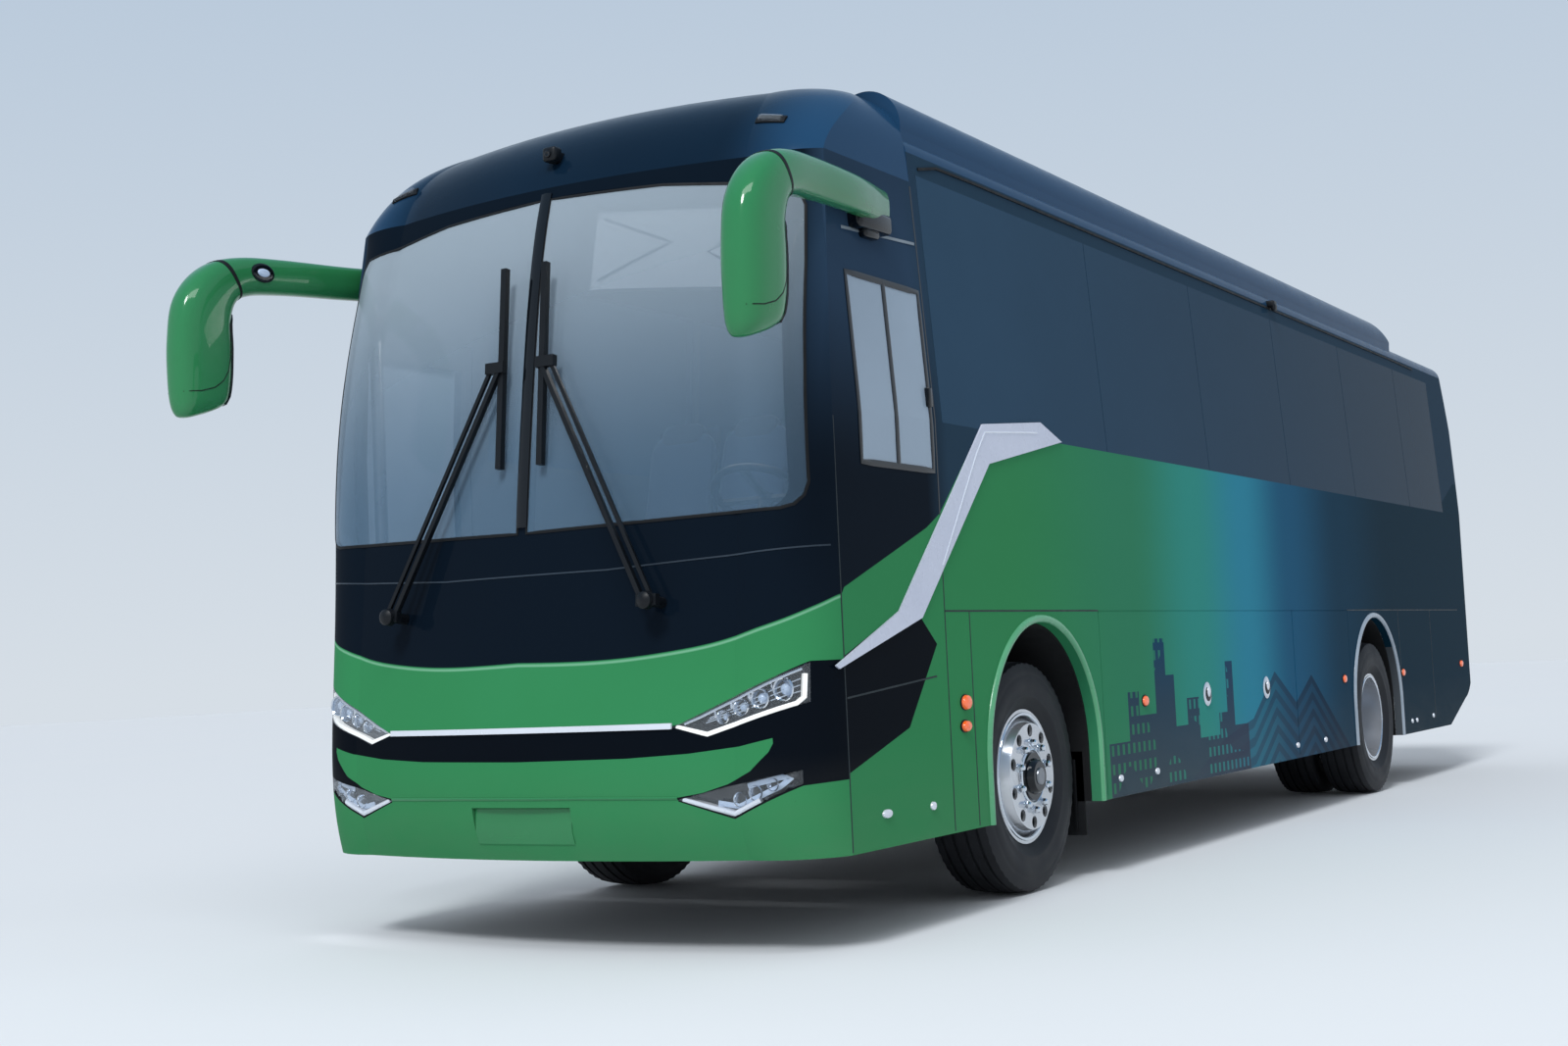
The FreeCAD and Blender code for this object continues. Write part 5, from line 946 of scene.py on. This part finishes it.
def lip(start):
    """The bright lip of a rim."""
    return [(start + 0.113, 0.272), (start + 0.118, 0.275), (start + 0.118, 0.285), (start + 0.113, 0.288)]


for name, sign in (("left", 1), ("right", -1)):
    front, rear = f"front_wheel_{name}", f"rear_wheels_{name}"
    for label, x, axle, body, node in (
            ("front_tyre", TRACK_FRONT, AXLES[0], front, f"tyre_front_{name}"),
            ("rear_tyre_outer", TRACK_REAR + TWIN, AXLES[1], rear, f"tyre_rear_{name}"),
            ("rear_tyre_inner", TRACK_REAR - TWIN, AXLES[1], rear, None)):
        item = piece(f"{label}_{name}", tyre(x * sign, axle), tyre_rubber, body, "tyre_rubber")
        if node:
            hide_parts(node)
    front_nuts, rear_nuts = bmesh.new(), bmesh.new()
    nuts(front_nuts, TRACK_FRONT + HUB, AXLES[0])
    turned(front_nuts, HUB_RING, FRONT_CENTRE, steps=60)
    turned(front_nuts, lip(0.0), FRONT_CENTRE, steps=72)
    nuts(rear_nuts, TRACK_REAR + 0.014, AXLES[1])
    turned(rear_nuts, lip(TWIN), REAR_CENTRE, steps=72)
    for label, work, finish, body, slot in (
            ("front_nuts", front_nuts, chrome, front, "wheel_alloy"),
            ("front_hub", turned(bmesh.new(), FRONT_HUB, FRONT_CENTRE, steps=60), gloss_black, front, None),
            ("front_cap", turned(bmesh.new(), FRONT_CAP, FRONT_CENTRE, steps=40), steel, front, None),
            ("rear_nuts", rear_nuts, chrome, rear, "wheel_alloy"),
            ("rear_hub", turned(bmesh.new(), REAR_HUB, REAR_CENTRE, steps=48), steel, rear, None)):
        piece(f"{label}_{name}", work if sign > 0 else mirrored(work), finish, body, slot)

# Mud flaps behind the front wheels, ribbed and hung from the arch's back edge

MUD_RIBS = [0.83 + rib * 0.07 for rib in range(5)]
work = blocks(((0.80, -2.462, 0.20), (1.17, -2.452, 0.60), 0.003),
              *(((low, -2.470, 0.22), (low + 0.02, -2.460, 0.56), 0.002) for low in MUD_RIBS))
piece("mud_flaps", flipped(work), seal)

# Driver's window: black frame, middle bar and latch. Door: seals and handle

WINDOW = (-4.668, -4.057, 1.838, 2.582)
low_y, high_y, low_z, high_z = WINDOW
middle = (low_y + high_y) / 2
work = ribbon(bmesh.new(), rect(*WINDOW), on_side, 0.026, 0.003, 0.1, closed=True, crown=0.002, sink=0.006)
ribbon(work, [(middle, low_z), (middle, high_z)], on_side, 0.03, 0.003, 0.1, crown=0.002, sink=0.006)
block(work, (SIDE_X - 0.012, high_y - 0.03, 2.1), (SIDE_X + 0.012, high_y + 0.004, 2.18), 0.005)
piece("driver_window_frame", work, gloss_black)
DOOR = (-4.823, -4.051, 0.406, 2.634)
DOOR_GLASS = (-4.754, -4.126, 1.18, 2.52)
for name, edges, width in (("door_glass_seal", DOOR_GLASS, 0.024), ("door_edge_seal", DOOR, 0.012)):
    line(name, rect(*edges, inset=width / 2 + 0.001), on_side, width, 0.002, seal, 0.1, mirrored, "entry_door",
         closed=True, crown=0.001)
work = blocks(((SIDE_X - 0.004, -4.2, 1.05), (SIDE_X + 0.006, -4.08, 1.13), 0.003),
              ((SIDE_X + 0.004, -4.19, 1.08), (SIDE_X + 0.022, -4.09, 1.10), 0.006, 3))
piece("door_handle", mirrored(work), silver, "entry_door")

# Rear: lamp frames and lenses, lid vents and handle, window seal, stop lamp, reflectors and plate

LAMP = (0.97, 1.08, 1.18, 1.78)
LAMP_X = 1.025
REAR_WINDOW = (-0.9, 0.9, 2.18, 2.90)
LENS = [(-0.002, 0.046), (0.006, 0.044), (0.010, 0.034), (0.012, 0.0005)]
LENS_RING = [(0.010, 0.030), (0.015, 0.028), (0.015, 0.022), (0.010, 0.020)]
line("tail_lamp_frames", rect(*LAMP), on_rear, 0.014, 0.003, gloss_black, side=flipped, closed=True, crown=0.002)
for name, levels, finish in (("stop", (1.68, 1.56), red_lens), ("turn", (1.44,), amber), ("back", (1.3,), lens_clear)):
    work = bmesh.new()
    for level in levels:
        hit, out = on_rear(LAMP_X, level)
        turned(work, LENS, hit, out, 32)
        turned(work, LENS_RING, hit, out, 32)
    piece(f"tail_lamp_{name}", flipped(work), finish)
VENT_ROWS = [0.809 + row * 0.048 for row in range(7)]
vent_skin = sunk(on_rear, 0.011)


def in_slot(x, z):
    """A place inside a vent slot, a little behind the lid's skin above it."""
    return vent_skin(x, z + 0.019)


work = bmesh.new()
for level in VENT_ROWS:
    for start, end in ((-0.72, -0.06), (0.06, 0.72)):
        ribbon(work, [(start, level), (end, level)], in_slot, 0.015, 0.001, 0.1, crown=0.003)
piece("lid_vents", work, black_plastic, "rear_lid")
work = ribbon(bmesh.new(), [(-0.82, 0.745), (0.82, 0.745)], on_rear, 0.012, 0.003, 0.1, crown=0.002)
blocks(((-0.07, -0.01, -0.014), (0.07, 0.018, 0.014), 0.006, 3), at=on_rear(0.0, 0.80)[0], work=work)
piece("lid_handle", work, black_plastic, "rear_lid")
line("rear_window_seal", rect(*REAR_WINDOW), on_rear, 0.03, 0.0008, seal, 0.08, closed=True)
line("high_stop_lamp", [(-0.3, 3.0), (0.3, 3.0)], on_rear, 0.035, 0.008, red_lens, 0.06, crown=0.006)
# the red lens's faint glow on these reflectors is a painted glint
line("rear_reflectors", [(0.78, 0.62), (0.95, 0.62)], on_rear, 0.04, 0.006, red_lens, side=flipped, crown=0.004)
# a bracket under the lid holds the bare plate and its two lamps, inside the coach's length
work = blocks(((-0.275, 5.575, 0.594), (0.275, 5.699, 0.714), 0.008),
              *(((x - 0.03, 5.69, 0.700), (x + 0.03, 5.712, 0.716), 0.005) for x in (-0.2, 0.2)))
piece("plate_bracket", work, black_plastic)
piece("rear_blank_plate", blocks(((-0.26, 5.697, 0.602), (0.26, 5.7025, 0.698), 0.002)), silver)


# Mirrors: arm, bend and hanging head in one housing, with its joints, lamp, pane and foot

# Place, half height, half thickness and turn from level to hanging, from the arm's root to the head's foot
MIRROR_SECTIONS = ((1.196, -4.305, 2.895, 0.072, 0.040, 0), (1.285, -4.70, 2.868, 0.074, 0.046, 0),
                   (1.330, -5.10, 2.846, 0.077, 0.054, 3), (1.350, -5.33, 2.820, 0.084, 0.068, 18),
                   (1.355, -5.465, 2.765, 0.102, 0.079, 44), (1.356, -5.548, 2.65, 0.132, 0.082, 72),
                   (1.356, -5.565, 2.50, 0.146, 0.083, 86), (1.355, -5.571, 2.36, 0.143, 0.081, 90),
                   (1.352, -5.578, 2.265, 0.132, 0.072, 97), (1.349, -5.588, 2.222, 0.106, 0.052, 104),
                   (1.348, -5.600, 2.206, 0.060, 0.028, 106))
MIRROR_STEPS = 7
MIRROR_SIDES = 40
SQUARENESS = 2.7
BEND_JOINT = 3 * MIRROR_STEPS + 4
HEAD_CUT = ((-5.455, 2.60), (-5.462, 2.45), (-5.475, 2.40), (-5.51, 2.352), (-5.56, 2.318), (-5.63, 2.298),
            (-5.70, 2.292))
PANE = ((1.305, 2.26), (1.402, 2.26), (1.412, 2.32), (1.412, 2.60), (1.39, 2.64), (1.318, 2.64), (1.300, 2.60),
        (1.300, 2.32))
ARM_LAMP = (-5.27, 2.838)


def eased(rows, steps):
    """Rows of numbers joined by a smooth curve through them all."""
    full = []
    for index in range(len(rows) - 1):
        before, start, end, after = (rows[max(0, min(len(rows) - 1, index + shift))] for shift in (-1, 0, 1, 2))
        for step in range(steps):
            t = step / steps
            full.append([0.5 * (2 * b + (c - a) * t + (2 * a - 5 * b + 4 * c - d) * t * t
                                + (3 * b - a - 3 * c + d) * t ** 3)
                         for a, b, c, d in zip(before, start, end, after)])
    full.append(list(rows[-1]))
    return full


def squared(share, half):
    """A place on a squared oval, from the sine or cosine of its angle."""
    return math.copysign(abs(share) ** (2 / SQUARENESS), share) * half


def lofted(work, rows, grow=0.0):
    """A housing through sections, each a squared oval that turns from level to hanging."""
    rings = []
    for x, y, z, tall, thick, turn in rows:
        up = Vector((0, -math.sin(math.radians(turn)), math.cos(math.radians(turn))))
        angles = [2 * math.pi * (index + 0.5) / MIRROR_SIDES for index in range(MIRROR_SIDES)]
        rings.append([work.verts.new(Vector((x + squared(math.cos(angle), thick + grow), y, z))
                                     + up * squared(math.sin(angle), tall + grow)) for angle in angles])
    return capped(work, rings)


mirror_rows = eased(MIRROR_SECTIONS, MIRROR_STEPS)
work = lofted(bmesh.new(), mirror_rows)
on_back, on_inside, on_outside = (skin_of(BVHTree.FromBMesh(work), start, way, 0.6, True) for start, way in (
    (lambda x, z: (x, -4.9, z), (0, -1, 0)), (lambda y, z: (0.8, y, z), (1, 0, 0)),
    (lambda y, z: (2.0, y, z), (-1, 0, 0))))
item = piece("mirror_housings", flipped(work), mirror_paint, "coach", "body_paint")
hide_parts("mirrors")
work = lofted(bmesh.new(), mirror_rows[BEND_JOINT:BEND_JOINT + 2], 0.0012)
for skin in (on_outside, on_inside):
    ribbon(work, HEAD_CUT, skin, 0.004, 0.0012, 0.03)
piece("mirror_joints", flipped(work), seal)
piece("mirror_panes", flipped(patch(PANE, on_back, 0.004, 0.008, 0.05)), chrome)
line("pane_edges", PANE, on_back, 0.010, 0.007, black_plastic, 0.04, flipped, closed=True, sink=0.004)
piece("arm_lamp_base", flipped(button(*ARM_LAMP, 0.13, 0.082, 0.006, 32, on_inside)), gloss_black)
piece("arm_lamps", flipped(button(*ARM_LAMP, 0.07, 0.036, 0.012, 32, on_inside)), blue_glint)
work = blocks(((1.17, -4.60, 2.768), (1.262, -4.33, 2.850), 0.02, 3),
              ((1.18, -4.52, 2.742), (1.240, -4.40, 2.79), 0.015, 3))
piece("mirror_feet", flipped(work), gloss_black)

# Wipers: covers over the pivots

work = bmesh.new()
for sign in (1, -1):
    turned(work, [(-0.004, 0.036), (0.024, 0.032), (0.034, 0.02), (0.036, 0.0005)], (0.635 * sign, -5.262, 1.337),
           FRONT_WAY, 28)
piece("wiper_caps", work, black_plastic)

# Cabin: padded seats

SEAT_PITCH = 0.78
SEAT_FIRST = NOSE_Y + 2.05
SEAT_ROWS = 11
SEAT_EDGES = ((0.25, 0.695), (0.705, 1.15))
SEAT_LEGS = (0.34, 0.98)
FLOOR_Z = 1.28
DRIVER_X = 0.62
DRIVER_FRONT = NOSE_Y + 1.01
CAB_FLOOR = 1.05
RECLINE = Matrix.Rotation(math.radians(-13.5), 3, "X")
CUSHION_TILT = Matrix.Rotation(math.radians(2.0), 3, "X")
UPRIGHT = Matrix.Rotation(math.radians(90), 3, "X")


def cushion(work, low, high, crown, seams, cuts, turn=None, pivot=(0, 0, 0)):
    """A crowned pad: sides pulled in between the corners and sewn channels across its face."""
    made = bmesh.ops.create_cube(work, size=2.0)
    edges = edges_of(made["verts"])
    made = bmesh.ops.subdivide_edges(work, edges=edges, cuts=cuts, use_grid_fill=True)
    corners = list({item for item in made["geom"] if isinstance(item, bmesh.types.BMVert)}
                   | {corner for edge in edges if edge.is_valid for corner in edge.verts})
    low, high = Vector(low), Vector(high)
    middle, half = (low + high) / 2, (high - low) / 2
    for corner in corners:
        u, v, w = corner.co
        length = (abs(u) ** 5 + abs(v) ** 5 + abs(w) ** 5) ** 0.2
        u, v, w = u / length, v / length, w / length
        puff = (1 - u * u) * (1 - v * v)
        groove = sum(math.exp(-((v - seam) / 0.05) ** 2) for seam in seams)
        lift = 0.72 + 0.28 * puff ** 0.35 * (1 + crown * 0.3) - 0.16 * groove * (1 - u ** 8)
        pinch = 1 - 0.05 * (1 - abs(v)) * abs(u) ** 6
        corner.co = middle + Vector((half.x * u * pinch, half.y * v, half.z * w * min(1.0, lift)))
    if turn:
        bmesh.ops.rotate(work, verts=corners, cent=pivot, matrix=turn)


def seat(cloth, trim, metal, left, right, front, floor):
    """One seat: cushion, reclined back, headrest and shell, from its front edge on its floor."""
    pivot = (0, front + 0.46, floor + 0.42)
    cushion(cloth, (left + 0.012, front + 0.005, floor + 0.335), (right - 0.012, front + 0.455, floor + 0.438), 0.5,
            (-0.35, 0.3), 9, CUSHION_TILT, (0, front + 0.44, floor + 0.42))
    back = bmesh.new()
    cushion(back, (left + 0.02, -0.30, -0.045), (right - 0.02, 0.30, 0.045), 0.6, (-0.45, 0.05, 0.5), 9)
    bmesh.ops.rotate(back, verts=back.verts[:], cent=(0, 0, 0), matrix=UPRIGHT)
    bmesh.ops.translate(back, verts=back.verts[:], vec=(0, front + 0.475, floor + 0.75))
    bmesh.ops.rotate(back, verts=back.verts[:], cent=pivot, matrix=RECLINE)
    mesh = bpy.data.meshes.new("seat_back_part")
    back.to_mesh(mesh)
    back.free()
    cloth.from_mesh(mesh)
    bpy.data.meshes.remove(mesh)
    cushion(trim, (left + 0.09, front + 0.435, floor + 0.93), (right - 0.09, front + 0.505, floor + 1.105), 0.4, (), 5,
            RECLINE, pivot)
    block(metal, (left + 0.03, front + 0.505, floor + 0.44), (right - 0.03, front + 0.53, floor + 1.09), 0.01, 2,
          RECLINE, pivot)


def seat_piece(name, work, finish, fill=None, node=None):
    """A part of the seats as a piece, in a CAD node's place if named. Its fill is not used."""
    item = piece(name, work, finish, "coach", "seat_cloth", weld=False)
    if node:
        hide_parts(node)


cloth, trim, metal = bmesh.new(), bmesh.new(), bmesh.new()
for row in range(SEAT_ROWS):
    front = SEAT_FIRST + SEAT_PITCH * row
    for left, right in SEAT_EDGES:
        seat(cloth, trim, metal, left, right, front, FLOOR_Z)
    for x in SEAT_LEGS:
        block(metal, (x, front + 0.2, FLOOR_Z + 0.001), (x + 0.06, front + 0.34, FLOOR_Z + 0.34), 0.01)
for side in SIDES:
    for source, name, finish, fill, node in ((cloth, "seat_pads", seat_cloth, 0.7, "passenger_seats"),
                                             (trim, "seat_headrests", seat_trim, 0.7, None),
                                             (metal, "seat_frames", dash_plastic, None, None)):
        work = source.copy()
        seat_piece(f"{name}_{side}", work if side == "left" else mirrored(work), finish, fill, node)
cloth.free(), trim.free(), metal.free()
cloth, trim, metal = bmesh.new(), bmesh.new(), bmesh.new()
seat(cloth, trim, metal, DRIVER_X - 0.24, DRIVER_X + 0.24, DRIVER_FRONT, CAB_FLOOR)
block(metal, (DRIVER_X - 0.12, DRIVER_FRONT + 0.13, CAB_FLOOR + 0.001),
      (DRIVER_X + 0.12, DRIVER_FRONT + 0.36, CAB_FLOOR + 0.33), 0.02)
seat_piece("driver_pads", cloth, seat_cloth, 0.75, "driver_seat")
seat_piece("driver_headrest", trim, seat_trim, 0.7)
piece("driver_seat_frame", metal, dash_plastic)

# Cabin: instruments and the folded sun blind

work = blocks(((0.36, -4.60, 1.56), (0.88, -4.42, 1.66), 0.03, 3), ((0.40, -4.50, 1.60), (0.84, -4.40, 1.70), 0.02, 3))
piece("instrument_hood", work, dash_plastic)
work = bmesh.new()
for x in (0.52, 0.72):
    turned(work, [(0.0, 0.06), (0.006, 0.058), (0.004, 0.05), (0.002, 0.0005)], (x, -4.399, 1.655), (0, 1, 0), 32)
piece("dials", work, blue_glint)
BLIND = [(0.2, 2.6), (1.0, 2.52), (1.0, 2.86), (0.2, 2.94)]
BLIND_FOLDS = ([(0.24, 2.64), (0.56, 2.76), (0.24, 2.9)], [(0.96, 2.55), (0.72, 2.7), (0.96, 2.83)])


def behind_screen(x, z):
    hit, out = on_front(x, z)
    return hit + Vector((0, 0.09, 0)), out


piece("sun_blind", patch(BLIND, behind_screen, 0.0, 0.006, 0.1), blind_cloth)
work = ribbon(bmesh.new(), BLIND[:1] + BLIND[:0:-1], behind_screen, 0.014, 0.004, 0.08, closed=True)
for fold in BLIND_FOLDS:
    ribbon(work, fold, behind_screen, 0.010, 0.004, 0.08)
piece("blind_frame", work, dash_plastic)

# The floor, the world, the lamps and the camera

work = bmesh.new()
bmesh.ops.create_grid(work, x_segments=1, y_segments=1, size=60)
floor_mesh = bpy.data.meshes.new("studio_floor")
work.to_mesh(floor_mesh)
work.free()
studio_floor = bpy.data.objects.new("studio_floor", floor_mesh)
bpy.context.scene.collection.objects.link(studio_floor)
g = Graph("pale_floor")
g.set(Base_Color=g.mix(g.span(g.noise(0.4), 0.3, 0.7, 0.0, 0.2), rgb(222, 228, 234), rgb(226, 230, 234)),
      Roughness=0.8)
floor_mesh.materials.append(g.material)


class Sky(Graph):
    """The node tree of the world, with the same short names."""

    def __init__(self, world):
        self.tree = world.node_tree
        self.place = self.new("ShaderNodeTexCoord").outputs["Generated"]


world = bpy.data.worlds.new("studio")
world.use_nodes = True
bpy.context.scene.world = world
sky = Sky(world)
# the camera, gloss and glass see a pale fade, and everything else is lit by an even one
height = sky.axes()[2]
fade = sky.ramp(height, [(0.0, rgb(214, 222, 230)), (0.75, rgb(140, 172, 204))])
shown = sky.fill(sky.tree.nodes["Background"], Color=fade, Strength=1.0)
even = sky.fill(sky.new("ShaderNodeBackground"), Color=(0.93, 0.96, 1.0, 1.0), Strength=0.6)
path = sky.new("ShaderNodeLightPath").outputs
seen = sky.math("MAXIMUM", path["Is Camera Ray"],
                sky.math("MAXIMUM", path["Is Glossy Ray"], path["Is Transmission Ray"]))
choose = sky.new("ShaderNodeMixShader")
for source, target in zip((seen, even.outputs[0], shown.outputs[0]), choose.inputs):
    sky.link(source, target)
sky.fill(sky.tree.nodes["World Output"], Surface=choose.outputs[0])


def lamp(name, kind, place, target, energy, size=None, angle=None):
    data = bpy.data.lights.new(name, kind)
    data.energy = energy
    if size:
        data.shape = "RECTANGLE"
        data.size, data.size_y = size
    if angle:
        data.angle = math.radians(angle)
    item = bpy.data.objects.new(name, data)
    bpy.context.scene.collection.objects.link(item)
    item.location = place
    item.rotation_euler = (Vector(target) - Vector(place)).to_track_quat("-Z", "Y").to_euler()


lamp("key_sun", "SUN", (2, -10, 12), (0, 0, 1), 1.7, angle=14)
lamp("high_box", "AREA", (4.0, -9.0, 10.0), (0, -3, 2.5), 260, (7, 2))
lamp("cab_lamp", "AREA", (0, -4.2, 2.95), (0, -4.5, 1.2), 16, (1.4, 0.5))

EYE = Vector((4.879, -11.331, 1.082))
YAW, PITCH, ROLL = 0.53937, 0.0702, -0.04498
LENS_MM, SENSOR_MM = 45.56, 36
camera_data = bpy.data.cameras.new("camera")
camera_data.sensor_width = SENSOR_MM
camera_data.lens = LENS_MM
camera = bpy.data.objects.new("camera", camera_data)
bpy.context.scene.collection.objects.link(camera)
bpy.context.scene.camera = camera
forward = Vector((-math.sin(YAW) * math.cos(PITCH), math.cos(YAW) * math.cos(PITCH), math.sin(PITCH)))
level = Vector((math.cos(YAW), math.sin(YAW), 0))
upright = level.cross(forward)
right = level * math.cos(ROLL) + upright * math.sin(ROLL)
above = upright * math.cos(ROLL) - level * math.sin(ROLL)
camera.matrix_world = Matrix.Translation(EYE) @ Matrix((right, above, -forward)).transposed().to_4x4()
bpy.context.scene.view_settings.view_transform = "Standard"
